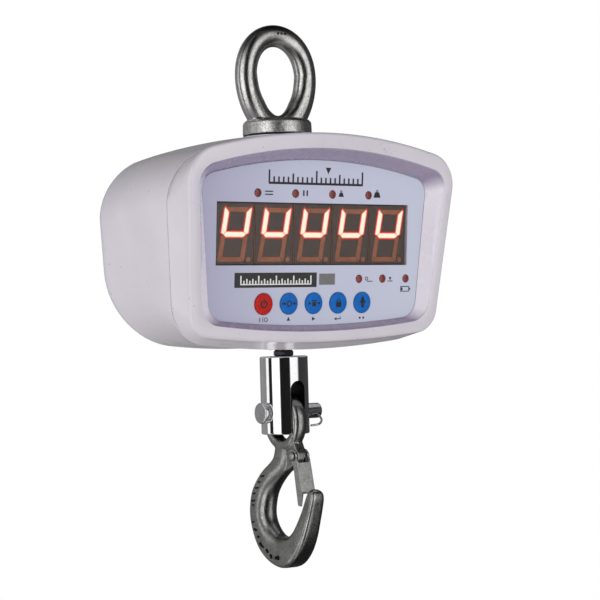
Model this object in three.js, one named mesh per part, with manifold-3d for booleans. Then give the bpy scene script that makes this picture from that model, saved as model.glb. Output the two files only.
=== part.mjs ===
// Hanging crane scale: forged lifting eye, two-part cast housing with a tilted key panel,
// S-type load cell, thrust-bearing swivel, clevis block, eye hook and sprung safety latch.
// Millimetres, +Z up, front towards -Y. The origin is the highest point inside the lifting
// eye, where a crane's hook or shackle touches it.
import * as THREE from 'three';
import * as BufferGeometryUtils from 'three/addons/utils/BufferGeometryUtils.js';
import Module from 'manifold-3d';

const wasm = await Module();
wasm.setup();

// ---------------------------------------------------------------- driving dimensions
const DEG = Math.PI / 180;
const GAP = 0.3;                    // between pieces that touch or fit in one another

const EYE = {
  stock: 15.1, sides: 12, halfWidth: 24.6, top: 7.55, bottom: -57.8, egg: 0.12,
  collarRadius: 23.8, collarTop: -50.9, collarBottom: -61.0, shankRadius: 12,
  saddle: -47.3, saddleRound: 7, saddleHalf: 10, pinch: 1.7, pinchAt: -39.5, pinchReach: 7,
};
const SEAT_TOP = -62.3;             // flat seat on top of the housing, under the gasket
const WALL = 3.4;                   // housing wall
const MID = -134.6;                 // height of the housing's middle
const TILT = 5 * DEG;               // the panel leans forward at its top
const LIP_TILT = 9 * DEG;           // the raised rim leans a little more
const LIP_DEPTH = -51.6;            // rim's depth at the housing's middle height
const PARTING = -30;                // depth of the joint between the covers, square to the panel
const PANEL = { face: -42.6, film: 0.7, seat: -41.6, back: -38.6 };
const REAR_Y = 74;                  // flat back of the rear cover
const REAR_ROUND = 17;              // radius of the edge around the back

// Housing outlines, seen from the front. top and bottom are the middles of the arched edges and
// their sags are taken 75 mm out; half is the half-width at mid height, and grows with slope.
const LIP_OUTER = { top: 70.4, topSag: 7.7, bottom: -69.7, bottomSag: 3.5, half: 105.6,
  slope: 0.08, topRadius: 19, bottomRadius: 13 };
const LIP_INNER = { top: 59.6, topSag: 8.2, bottom: -62, bottomSag: 4.4, half: 97.4,
  slope: 0.088, topRadius: 11, bottomRadius: 12 };
const PANEL_EDGE = { top: 56.6, topSag: 8.2, bottom: -53.9, bottomSag: 3.9, half: 88.9,
  slope: 0.083, topRadius: 9, bottomRadius: 10 };
const JOINT_EDGE = { top: 74, topSag: 10.8, bottom: -71.1, bottomSag: 4.2, half: 108.3,
  slope: 0.075, topRadius: 26, bottomRadius: 23 };
const MIDDLE_EDGE = { top: 73, topSag: 11.6, bottom: -72.4, bottomSag: 5, half: 108.2,
  slope: 0.068, topRadius: 27, bottomRadius: 33 };
const REAR_EDGE = { top: 72.5, topSag: 13, bottom: -72.2, bottomSag: 6, half: 105.2,
  slope: 0.062, topRadius: 29, bottomRadius: 44 };

const WINDOW = { x: -1.6, z: 7, width: 157.4, height: 41.4 };
const DIGIT = { count: 5, pitch: 31.48, width: 31.1, height: 47, depth: 10.5 };
const LAMP_RADIUS = 2.75;
const LAMPS = [
  ['indicator_stable', -48.5, 33.8], ['indicator_hold', -18.3, 33.8],
  ['indicator_pounds', 12.1, 33.8], ['indicator_kilograms', 42.6, 33.8],
  ['indicator_zero', 36.1, -23], ['indicator_tare', 56.3, -23],
  ['indicator_low_battery', 76.6, -23],
];
const KEY = { radius: 7.15, z: -39.1, proud: 0.8, travel: 0.6, stem: 2.5 };
const KEYS = [
  ['key_power', -42.3], ['key_zero', -22], ['key_tare', -1.7],
  ['key_hold', 18.7], ['key_shift', 39],
];

const CELL = { width: 60, depth: 25, top: -95, bottom: -155 };
const CUP = { radius: 19, top: -158, bottom: -198, wall: 3.2, capHeight: 8 };
const STUD = { radius: 6, top: -168, bottom: -224, hexAcross: 13, hexTop: -208.7 };
const BLOCK = { radius: 16.5, top: -212.4, bottom: -265.6, slot: 11.5, slotTop: -229.2 };
const PIN = { z: -250.8, radius: 5.25, headRadius: 7.2, headFace: -20.8, headThick: 4, end: 28 };
const HOOK = {
  eyeZ: PIN.z - 6.35, eyeHole: 12, eyeRadius: 20.5, eyeThick: 10.5, thick: 16, bevel: 3.6,
};
const LATCH = { y: -14.5, z: -280.3, inner: 4.4, sheet: 1.2, rivet: 1.9 };
const SPRING = { from: 1.5, to: 3.7, turns: 2.25, coil: 2.9, wire: 0.35 };
const SCREWS = [[-78, -92], [78, -92], [-76, -180], [76, -180]];
const BATTERY = { width: 101, depth: 47, height: 70, y: 20, bottom: -170 };
const DOOR = { width: 122, height: 88, thick: 2.6, z: -135 };
const SOCKET = { x: 75, z: -135, radius: 5.5 };

// ---------------------------------------------------------------- materials
const material = (color, roughness, metalness) =>
  new THREE.MeshStandardMaterial({ color, roughness, metalness });
const forged = material(0x8b8d8c, 0.45, 0.9);
const chrome = material(0xd9dadc, 0.08, 1);
const steel = material(0x9a9c9f, 0.35, 0.9);
const blackened = material(0x26262a, 0.4, 0.7);
const aluminium = material(0xb9bcbf, 0.35, 0.8);
const paint = material(0xd0cbd1, 0.3, 0);
const rubber = material(0x1b1b1c, 0.8, 0);
const panelFilm = material(0xbabdd0, 0.35, 0);
const smoked = material(0x4a413c, 0.12, 0);
const digitBody = material(0x3a3432, 0.5, 0);
const lampRed = material(0x8f3b34, 0.3, 0);
const keyRed = material(0xc82d23, 0.4, 0);
const keyBlue = material(0x1e73c3, 0.4, 0);
const board = material(0x1f5b38, 0.6, 0);
const batteryCase = material(0x33363c, 0.5, 0);
const blackPlastic = material(0x222224, 0.5, 0);

// ---------------------------------------------------------------- solids
function toSolid(geometry) {
  const plain = geometry.clone();
  for (const name of ['normal', 'uv']) plain.deleteAttribute(name);
  const merged = BufferGeometryUtils.mergeVertices(plain, 1e-4);
  const index = merged.index.array;
  const triangles = [];
  for (let i = 0; i < index.length; i += 3) {
    const [a, b, c] = [index[i], index[i + 1], index[i + 2]];
    if (a !== b && b !== c && c !== a) triangles.push(a, b, c);
  }
  const make = (list) => new wasm.Manifold(new wasm.Mesh({
    numProp: 3, vertProperties: merged.attributes.position.array, triVerts: Uint32Array.from(list),
  }));
  const result = make(triangles);
  return result.volume() > 0 ? result : make(triangles.reverse());
}

function toGeometry(solid) {
  const mesh = solid.getMesh();
  const geometry = new THREE.BufferGeometry();
  geometry.setAttribute('position', new THREE.BufferAttribute(mesh.vertProperties, 3));
  geometry.setIndex(new THREE.BufferAttribute(mesh.triVerts, 1));
  geometry.computeVertexNormals();
  return geometry;
}

const join = (...solids) => solids.reduce((sum, one) => sum.add(one));
const cut = (from, ...solids) => solids.reduce((rest, one) => rest.subtract(one), from);

function box(width, depth, height, x, y, z) {
  return toSolid(new THREE.BoxGeometry(width, depth, height).translate(x, y, z));
}

// A turned piece: profile of [radius, height] pairs about the Z, X or Y axis.
function turned(profile, axis = 'z', segments = 20) {
  const points = profile.map(([radius, height]) => new THREE.Vector2(radius, height));
  const geometry = new THREE.LatheGeometry(points, segments);
  if (axis === 'z') geometry.rotateX(Math.PI / 2);
  if (axis === 'x') geometry.rotateZ(-Math.PI / 2);
  return geometry;
}

const rod = (radius, from, to, axis = 'z', segments = 20) =>
  turned([[0, from], [radius, from], [radius, to], [0, to]], axis, segments);

const tubeRing = (inner, outer, from, to, axis = 'z', segments = 20) =>
  turned([[inner, from], [outer, from], [outer, to], [inner, to], [inner, from]], axis, segments);

// A flat outline in the YZ plane, given thickness along X and a rounded edge.
function slabX(shape, thick, bevel = 0, curveSegments = 6, bevelSegments = 2) {
  const geometry = new THREE.ExtrudeGeometry(shape, {
    depth: thick - 2 * bevel, bevelEnabled: bevel > 0, bevelThickness: bevel, bevelSize: bevel,
    bevelOffset: -bevel, bevelSegments, curveSegments,
  });
  geometry.translate(0, 0, bevel - thick / 2);
  return geometry.applyMatrix4(new THREE.Matrix4().makeBasis(
    new THREE.Vector3(0, 1, 0), new THREE.Vector3(0, 0, 1), new THREE.Vector3(1, 0, 0)));
}

// A flat outline in the XZ plane, given thickness along Y from yFrom to yTo.
function slabY(shape, yFrom, yTo, curveSegments = 10) {
  const geometry = new THREE.ExtrudeGeometry(shape, {
    depth: yTo - yFrom, bevelEnabled: false, curveSegments,
  });
  return geometry.rotateX(Math.PI / 2).translate(0, yTo, 0);
}

function hexRod(across, from, to) {
  return new THREE.CylinderGeometry(across / Math.sqrt(3), across / Math.sqrt(3), to - from, 6)
    .rotateX(Math.PI / 2).translate(0, 0, (from + to) / 2);
}

// Wire or cable of round section along a smooth curve.
function wire(points, radius, steps, sides = 8) {
  const curve = new THREE.CatmullRomCurve3(points.map((p) => new THREE.Vector3(...p)));
  const circle = new THREE.Shape().absarc(0, 0, radius, 0, 2 * Math.PI);
  return new THREE.ExtrudeGeometry(circle, {
    steps, extrudePath: curve, curveSegments: sides / 2, bevelEnabled: false,
  });
}

// Triangles that close one ring, turned to follow its points or to run against them.
function capTriangles(ring, first, against) {
  const flat = ring.map((p) => new THREE.Vector2(p.x, p.z));
  const ringArea = THREE.ShapeUtils.area(flat);
  return THREE.ShapeUtils.triangulateShape(flat, []).flatMap((triangle) => {
    const follows = THREE.ShapeUtils.area(triangle.map((i) => flat[i])) * ringArea > 0;
    const ordered = follows === against ? [...triangle].reverse() : triangle;
    return ordered.map((i) => first + i);
  });
}

// Skin over a row of rings with equal point counts; closed at both ends, or joined end to end.
function loft(rings, looped = false) {
  const count = rings[0].length;
  const positions = rings.flat().flatMap((p) => [p.x, p.y, p.z]);
  const index = [];
  const rows = looped ? rings.length : rings.length - 1;
  for (let i = 0; i < rows; i += 1) {
    const next = ((i + 1) % rings.length) * count;
    for (let j = 0; j < count; j += 1) {
      const a = i * count + j;
      const b = i * count + ((j + 1) % count);
      const c = next + ((j + 1) % count);
      const d = next + j;
      index.push(a, b, c, a, c, d);
    }
  }
  if (!looped) {
    index.push(...capTriangles(rings[0], 0, true));
    index.push(...capTriangles(rings.at(-1), (rings.length - 1) * count, false));
  }
  const geometry = new THREE.BufferGeometry();
  geometry.setAttribute('position', new THREE.Float32BufferAttribute(positions, 3));
  geometry.setIndex(index);
  return geometry;
}

// ---------------------------------------------------------------- housing outlines
const ARCH_REFERENCE = 75;
const BEZIER_ARC = 0.55;

function bezierPoints(a, corner, b, count) {
  const nearA = a.clone().lerp(corner, BEZIER_ARC);
  const nearB = b.clone().lerp(corner, BEZIER_ARC);
  return new THREE.CubicBezierCurve(a, nearA, nearB, b).getPoints(count);
}

// Half outline from the top middle round the right side to the bottom middle.
function rightHalf(edge) {
  const topAt = (x) => edge.top - edge.topSag * (x / ARCH_REFERENCE) ** 2;
  const bottomAt = (x) => edge.bottom + edge.bottomSag * (x / ARCH_REFERENCE) ** 2;
  const sideAt = (z) => edge.half + edge.slope * z;
  const corner = (arch) => {
    let x = edge.half;
    for (let i = 0; i < 8; i += 1) x = sideAt(arch(x));
    return new THREE.Vector2(x, arch(x));
  };
  const high = corner(topAt);
  const low = corner(bottomAt);
  const highStart = high.x - edge.topRadius;
  const lowStart = low.x - edge.bottomRadius;
  const arch = (at, from, to, count) => Array.from({ length: count }, (_, i) => {
    const x = from + (to - from) * i / count;
    return new THREE.Vector2(x, at(x));
  });
  const sideHigh = new THREE.Vector2(sideAt(high.y - edge.topRadius), high.y - edge.topRadius);
  const sideLow = new THREE.Vector2(sideAt(low.y + edge.bottomRadius), low.y + edge.bottomRadius);
  return [
    ...arch(topAt, 0, highStart, 5),
    ...bezierPoints(new THREE.Vector2(highStart, topAt(highStart)), high, sideHigh, 5),
    sideHigh.clone().lerp(sideLow, 0.5),
    ...bezierPoints(sideLow, low, new THREE.Vector2(lowStart, bottomAt(lowStart)), 5),
    ...arch(bottomAt, lowStart, 0, 4).slice(1),
    new THREE.Vector2(0, edge.bottom),
  ];
}

function outline(edge) {
  const right = rightHalf(edge);
  const left = right.slice(1, -1).reverse().map((p) => new THREE.Vector2(-p.x, p.y));
  return [...right, ...left];
}

const inset = (edge, by) => ({
  ...edge, top: edge.top - by, bottom: edge.bottom + by, half: edge.half - by,
  topRadius: Math.max(edge.topRadius - by, 4), bottomRadius: Math.max(edge.bottomRadius - by, 4),
});

// The outline stood up in a plane through (y, z) whose top leans forward by tilt.
const standing = (edge, y, z, tilt) => outline(edge).map((p) =>
  new THREE.Vector3(p.x, y - p.y * Math.sin(tilt), z + p.y * Math.cos(tilt)));

const panelPlane = (edge, depth) =>
  standing(edge, depth * Math.cos(TILT), MID + depth * Math.sin(TILT), TILT);
const upright = (edge, y) => standing(edge, y, MID, 0);
const lipPlane = (edge, back) => standing(edge, LIP_DEPTH + back, MID, LIP_TILT);

// ---------------------------------------------------------------- assembly helpers
const scale = new THREE.Group();
const panelGroup = new THREE.Group();
panelGroup.rotation.x = TILT;
panelGroup.position.z = MID;
scale.add(panelGroup);

function add(name, solidOrGeometry, look, parent = scale) {
  const solid = solidOrGeometry.isBufferGeometry ? toSolid(solidOrGeometry) : solidOrGeometry;
  const mesh = new THREE.Mesh(toGeometry(solid), look);
  mesh.name = name;
  parent.add(mesh);
  return mesh;
}

// A solid drawn in the panel's own frame, moved to the scale's frame for cutting the cover.
function fromPanel(geometry) {
  const placed = geometry.clone();
  placed.rotateX(TILT).translate(0, 0, MID);
  return toSolid(placed);
}

// ---------------------------------------------------------------- lifting eye
function eyeRing() {
  const middle = (EYE.top + EYE.bottom) / 2;
  const reach = (EYE.top - EYE.bottom) / 2;
  const centre = (t) => {
    const z = middle + reach * Math.cos(t);
    const pinch = EYE.pinch * Math.exp(-(((z - EYE.pinchAt) / EYE.pinchReach) ** 2));
    const half = EYE.halfWidth * (1 + EYE.egg * Math.cos(t)) - pinch;
    return new THREE.Vector3(half * Math.sin(t), 0, z);
  };
  const rings = [];
  const steps = 36;
  for (let i = 0; i < steps; i += 1) {
    const t = 2 * Math.PI * i / steps;
    const along = centre(t + 0.001).sub(centre(t - 0.001)).normalize();
    const across = new THREE.Vector3(0, 1, 0);
    const out = new THREE.Vector3().crossVectors(along, across);
    rings.push(Array.from({ length: EYE.sides }, (_, j) => {
      const a = 2 * Math.PI * j / EYE.sides;
      return centre(t).addScaledVector(out, Math.cos(a) * EYE.stock / 2)
        .addScaledVector(across, Math.sin(a) * EYE.stock / 2);
    }));
  }
  const below = box(60, 60, 20, 0, 0, EYE.collarBottom - 9);
  return toSolid(loft(rings, true)).add(eyeSaddle()).subtract(below);
}

// Bar of the ring's own stock that curves from leg to leg and rounds the bottom of the hole.
function eyeSaddle() {
  const { saddle, saddleRound, saddleHalf: half, stock, sides } = EYE;
  const points = Array.from({ length: 9 }, (_, i) => half * (i / 4 - 1)).map((x) => {
    const slope = Math.atan(x / saddleRound);
    return [x + stock / 2 * Math.sin(slope), 0,
      saddle + x * x / (2 * saddleRound) - stock / 2 * Math.cos(slope)];
  });
  return toSolid(wire(points, stock / 2, 14, sides));
}

const CELL_THREAD = 8;              // radius of the threads in the load cell
const SHANK_STEP = -86;             // where the eye's shank steps down to the cell's thread

function makeEye() {
  const { collarRadius: r, collarTop, collarBottom, shankRadius } = EYE;
  const body = turned([[0, collarTop - 1], [r - 2.4, collarTop - 1], [r - 2.4, collarTop],
    [r - 1.8, collarTop], [r, collarTop - 1.8], [r, collarBottom],
    [shankRadius, collarBottom], [shankRadius, SHANK_STEP + 1.5], [shankRadius - 1.5, SHANK_STEP],
    [CELL_THREAD, SHANK_STEP], [CELL_THREAD, CELL.top - 17], [CELL_THREAD - 1, CELL.top - 18],
    [0, CELL.top - 18]]);
  const top = turned([[0, collarTop - 6], [r - 1.8, collarTop - 6], [r - 1.8, collarTop],
    [0, collarTop]]);
  add('lifting_eye', join(eyeRing(), toSolid(body), toSolid(top)), forged);
  add('eye_gasket', tubeRing(EYE.shankRadius + GAP, EYE.collarRadius - 0.6,
    SEAT_TOP + GAP, EYE.collarBottom - GAP), rubber);
}

// ---------------------------------------------------------------- housing
const SEAT_RADIUS = 25;
const DRAIN_RADIUS = 10.5;          // hole in the bottom for the rubber boot
const SCREW_GRIP = 7;               // how far the cover screws reach into the front cover
const BOSS_RADIUS = 5;

function frontOuter() {
  return toSolid(loft([
    lipPlane(inset(LIP_OUTER, 3.2), 0), lipPlane(inset(LIP_OUTER, 1.4), 0.45),
    lipPlane(inset(LIP_OUTER, 0.4), 1.5), lipPlane(LIP_OUTER, 3.4),
    panelPlane(JOINT_EDGE, PARTING),
  ]));
}

function frontRecess() {
  return toSolid(loft([
    lipPlane(inset(LIP_INNER, -1.2), -6), lipPlane(inset(LIP_INNER, -1.2), -0.01),
    lipPlane(LIP_INNER, 1), panelPlane(PANEL_EDGE, PANEL.face - 0.3),
    panelPlane(PANEL_EDGE, PANEL.seat),
  ]));
}

// World depth, at height z, of the plane where the covers meet.
const jointAt = (z) => (PARTING - (z - MID) * Math.sin(TILT)) / Math.cos(TILT);

// Screw boss behind the panel plate, flush with the joint.
function frontBoss(x, z) {
  const reach = PANEL.back - 1;
  const between = fromPanel(new THREE.BoxGeometry(300, PARTING - reach, 300)
    .translate(0, (PARTING + reach) / 2, 0));
  return toSolid(rod(BOSS_RADIUS, -60, 0, 'y', 20).translate(x, 0, z)).intersect(between);
}

function makeFrontCover() {
  const cavity = toSolid(loft([
    panelPlane(inset(LIP_OUTER, 5), PANEL.back), panelPlane(inset(JOINT_EDGE, WALL), PARTING),
    panelPlane(inset(JOINT_EDGE, WALL), PARTING + 2),
  ]));
  let cover = cut(frontOuter(), frontRecess(), cavity);
  for (const [x, z] of SCREWS) {
    const hole = rod(2 + GAP, jointAt(z) - SCREW_GRIP - 1, jointAt(z) + 1, 'y', 16);
    cover = cut(cover.add(frontBoss(x, z)), toSolid(hole.translate(x, 0, z)));
  }
  const opening = new THREE.BoxGeometry(WINDOW.width + 2 * GAP, 20, WINDOW.height + 2 * GAP)
    .translate(WINDOW.x, PANEL.seat, WINDOW.z);
  cover = cover.subtract(fromPanel(opening));
  for (const [, x] of KEYS) {
    cover = cover.subtract(fromPanel(
      rod(KEY.radius - 1.2, PANEL.seat - 3, PANEL.back + 3, 'y', 16).translate(x, 0, KEY.z)));
  }
  for (const [, x, z] of LAMPS) {
    cover = cover.subtract(fromPanel(
      rod(LAMP_RADIUS + GAP, PANEL.seat - 3, PANEL.back + 3, 'y', 12).translate(x, 0, z)));
  }
  add('front_cover', cover, paint);
}

function rearRings(by) {
  const rings = [panelPlane(inset(JOINT_EDGE, by), PARTING + (by ? -2 : SEAL)),
    upright(inset(MIDDLE_EDGE, by), 0)];
  const round = REAR_ROUND - by;
  for (let i = 0; i <= 4; i += 1) {
    const turn = i * Math.PI / 8;
    rings.push(upright(inset(REAR_EDGE, by + round * (1 - Math.cos(turn))),
      REAR_Y - REAR_ROUND + round * Math.sin(turn)));
  }
  return rings;
}

const SEAL = 1.2;                   // thickness of the gasket between the covers

function makeRearCover() {
  let cover = cut(toSolid(loft(rearRings(0))), toSolid(loft(rearRings(WALL))));
  const seat = cut(toSolid(rod(SEAT_RADIUS, SEAT_TOP - 5, SEAT_TOP)),
    toSolid(rod(SEAT_RADIUS + 5, SEAT_TOP, SEAT_TOP + 4)));
  cover = cut(cover.add(seat), toSolid(rod(SEAT_RADIUS, SEAT_TOP, SEAT_TOP + 4)),
    toSolid(rod(EYE.shankRadius + GAP, SEAT_TOP - 9, SEAT_TOP + 4)),
    toSolid(rod(DRAIN_RADIUS, -212, -200)));
  const behind = fromPanel(new THREE.BoxGeometry(300, 100, 300)
    .translate(0, PARTING + SEAL - 50, 0));
  for (const [x, z] of SCREWS) {
    const post = toSolid(rod(BOSS_RADIUS, PARTING - 20, REAR_Y - 1, 'y', 20).translate(x, 0, z));
    cover = cover.add(cut(post, behind));
  }
  for (const [x, z] of SCREWS) {
    cover = cut(cover, toSolid(rod(2 + GAP, -60, REAR_Y + 5, 'y', 16).translate(x, 0, z)),
      toSolid(rod(4 + GAP, REAR_Y - 4, REAR_Y + 5, 'y', 20).translate(x, 0, z)));
  }
  cover = cut(cover, box(DOOR.width - 14, 20, DOOR.height - 14, 0, REAR_Y, DOOR.z),
    toSolid(rod(SOCKET.radius + GAP, REAR_Y - 12, REAR_Y + 5, 'y', 20)
      .translate(SOCKET.x, 0, SOCKET.z)));
  for (const [x, z] of doorScrews()) {
    cover = cut(cover, toSolid(rod(1.5 + GAP, REAR_Y - 12, REAR_Y + 5, 'y', 16)
      .translate(x, 0, z)));
  }
  add('rear_cover', cover, paint);
}

function makeSeal() {
  const front = PARTING + 0.2;
  const back = PARTING + SEAL - 0.2;
  const outer = inset(JOINT_EDGE, 0.5);
  const inner = inset(JOINT_EDGE, WALL - 0.4);
  add('cover_gasket', loft([panelPlane(outer, front), panelPlane(outer, back),
    panelPlane(inner, back), panelPlane(inner, front)], true), rubber);
}

const DOOR_SCREW_IN = 4;
const doorScrews = () => [[-1, -1], [1, -1], [-1, 1], [1, 1]].map(([sx, sz]) => [
  sx * (DOOR.width / 2 - DOOR_SCREW_IN), DOOR.z + sz * (DOOR.height / 2 - DOOR_SCREW_IN)]);

function roundedRect(width, height, radius, x = 0, z = 0) {
  const [w, h] = [width / 2, height / 2];
  const shape = new THREE.Shape();
  shape.moveTo(x - w + radius, z - h);
  shape.lineTo(x + w - radius, z - h);
  shape.absarc(x + w - radius, z - h + radius, radius, -Math.PI / 2, 0);
  shape.absarc(x + w - radius, z + h - radius, radius, 0, Math.PI / 2);
  shape.absarc(x - w + radius, z + h - radius, radius, Math.PI / 2, Math.PI);
  shape.absarc(x - w + radius, z - h + radius, radius, Math.PI, 1.5 * Math.PI);
  return shape;
}

function panHeadScrew(shankRadius, headRadius, headHeight, tip, headAt) {
  const shank = turned([[0, tip], [shankRadius - 0.5, tip], [shankRadius, tip + 0.8],
    [shankRadius, headAt], [headRadius, headAt], [headRadius, headAt + headHeight * 0.5],
    [headRadius * 0.75, headAt + headHeight], [0, headAt + headHeight]], 'y', 10);
  const cross = headRadius * 1.1;
  return cut(toSolid(shank), box(cross, 2, 0.9, 0, headAt + headHeight, 0),
    box(0.9, 2, cross, 0, headAt + headHeight, 0));
}

function makeFasteners() {
  SCREWS.forEach(([x, z], i) => {
    const screw = panHeadScrew(2, 4, 2.6, jointAt(z) - SCREW_GRIP, REAR_Y - 4 + GAP);
    add(`cover_screw_${i + 1}`, screw, steel).position.set(x, 0, z);
  });
  const doorFace = REAR_Y + GAP + DOOR.thick;
  const holes = doorScrews();
  let door = toSolid(slabY(roundedRect(DOOR.width, DOOR.height, 8, 0, DOOR.z),
    REAR_Y + GAP, doorFace, 6));
  for (const [x, z] of holes) {
    door = cut(door, toSolid(rod(1.5 + GAP, REAR_Y - 5, REAR_Y + 9, 'y', 16).translate(x, 0, z)),
      toSolid(rod(3.2, doorFace - 1.5, doorFace + 1, 'y', 16).translate(x, 0, z)));
  }
  add('battery_cover', door, paint);
  holes.forEach(([x, z], i) => {
    const screw = panHeadScrew(1.5, 2.8, 1.3, REAR_Y - 8, doorFace - 1.4);
    add(`battery_cover_screw_${i + 1}`, screw, steel).position.set(x, 0, z);
  });
}

// ---------------------------------------------------------------- key panel
function makePanel() {
  const edge = inset(PANEL_EDGE, GAP);
  const flat = outline(edge);
  const shape = new THREE.Shape(flat);
  const back = PANEL.face + PANEL.film;
  let film = toSolid(slabY(shape, PANEL.face, back));
  film = film.subtract(toSolid(new THREE.BoxGeometry(WINDOW.width, 8, WINDOW.height)
    .translate(WINDOW.x, back, WINDOW.z)));
  for (const [, x] of KEYS) {
    film = film.subtract(toSolid(rod(KEY.radius + GAP, back - 3, back + 3, 'y', 20)
      .translate(x, 0, KEY.z)));
  }
  for (const [, x, z] of LAMPS) {
    film = film.subtract(toSolid(rod(LAMP_RADIUS + GAP, back - 3, back + 3, 'y', 14)
      .translate(x, 0, z)));
  }
  add('panel_overlay', film, panelFilm, panelGroup);

  const lens = new THREE.BoxGeometry(WINDOW.width - 2 * GAP, 1.8, WINDOW.height - 2 * GAP);
  add('window_filter', lens, smoked, panelGroup)
    .position.set(WINDOW.x, PANEL.face + 0.1 + 0.9, WINDOW.z);
}

const FILTER_BACK = PANEL.face + 1.9;
const MODULE_FRONT = PANEL.back + GAP;
const BOARD_FRONT = MODULE_FRONT + DIGIT.depth + GAP;

function digitShape() {
  const shell = slabY(roundedRect(DIGIT.width, DIGIT.height, 0.8), 0, DIGIT.depth, 2);
  const raised = slabY(roundedRect(DIGIT.width - 0.6, WINDOW.height - 1.2, 0.5),
    FILTER_BACK + GAP - MODULE_FRONT, 1, 2);
  return join(toSolid(shell), toSolid(raised));
}

function makeDisplay() {
  for (let i = 0; i < DIGIT.count; i += 1) {
    const x = WINDOW.x + (i - (DIGIT.count - 1) / 2) * DIGIT.pitch;
    add(`digit_${i + 1}`, digitShape(), digitBody, panelGroup)
      .position.set(x, MODULE_FRONT, WINDOW.z);
  }
  for (const [name, x, z] of LAMPS) {
    const lamp = turned([[0, BOARD_FRONT - GAP], [3.3, BOARD_FRONT - GAP],
      [3.3, BOARD_FRONT - 1.5], [LAMP_RADIUS, BOARD_FRONT - 1.5], [LAMP_RADIUS, PANEL.face + 0.2],
      [LAMP_RADIUS - 0.4, PANEL.face - 0.05], [0, PANEL.face - 0.15]], 'y', 14);
    add(name, lamp, lampRed, panelGroup).position.set(x, 0, z);
  }
  const plate = new THREE.BoxGeometry(164, 1.6, 66).translate(WINDOW.x, BOARD_FRONT + 0.8, 3);
  const chips = [[-50, -8, 16, 10], [-14, 14, 10, 18], [26, -6, 18, 10], [62, 10, 12, 12]];
  const parts = chips.map(([x, z, width, height]) =>
    box(width, 3, height, WINDOW.x + x, BOARD_FRONT + 2.6, z));
  add('display_board', join(toSolid(plate), ...parts), board, panelGroup);
}

const KEY_CAP_BACK = PANEL.back - 1.2;
const SWITCH_FACE = -35;

function makeKeys() {
  for (const [name, x] of KEYS) {
    const front = PANEL.face - KEY.proud;
    const key = turned([[0, front - 0.15], [KEY.radius * 0.6, front - 0.08],
      [KEY.radius - 0.5, front + 0.1], [KEY.radius, front + 0.6], [KEY.radius, PANEL.seat - 1],
      [KEY.radius - 1.6, PANEL.seat - 1], [KEY.radius - 1.6, KEY_CAP_BACK],
      [KEY.stem, KEY_CAP_BACK], [KEY.stem, SWITCH_FACE - KEY.travel - GAP],
      [0, SWITCH_FACE - KEY.travel - GAP]], 'y', 20);
    add(name, key, name === 'key_power' ? keyRed : keyBlue, panelGroup)
      .position.set(x, 0, KEY.z);
  }
  const plate = new THREE.BoxGeometry(104, 1.6, 13).translate(WINDOW.x, SWITCH_FACE + 4.3, KEY.z - 1);
  const switches = KEYS.map(([, x]) => box(6, 3.6, 6, x, SWITCH_FACE + 1.8, KEY.z));
  add('key_board', join(toSolid(plate), ...switches), board, panelGroup);
}

// ---------------------------------------------------------------- load path inside
function hexNut(across, bore, from, to) {
  return cut(toSolid(hexRod(across, from, to)), toSolid(rod(bore + GAP, from - 1, to + 1)));
}

function makeCell() {
  const { width, depth, top, bottom } = CELL;
  const middle = (top + bottom) / 2;
  const block = box(width, depth, top - bottom, 0, 0, middle);
  const slot = 3;
  const cuts = [
    box(width, depth + 2, slot, -8, 0, top - 17), box(width, depth + 2, slot, 8, 0, bottom + 17),
    toSolid(rod(7, -depth, depth, 'y', 24).translate(0, 0, middle)),
    toSolid(rod(CELL_THREAD + GAP, top - 20, top + 1)),
    toSolid(rod(CELL_THREAD + GAP, bottom - 1, bottom + 20)),
  ];
  add('load_cell', cut(block, ...cuts), aluminium);
  add('housing_clamp_nut', hexNut(36, EYE.shankRadius, SEAT_TOP - 5.3 - 12, SEAT_TOP - 5.3), steel);
  add('cell_lock_nut', hexNut(24, CELL_THREAD, CELL.top + GAP, SHANK_STEP - GAP), steel);
}

const RACE = { inner: 7.6, outer: 15.4, thick: 4, ball: 2.2, balls: 10 };

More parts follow.
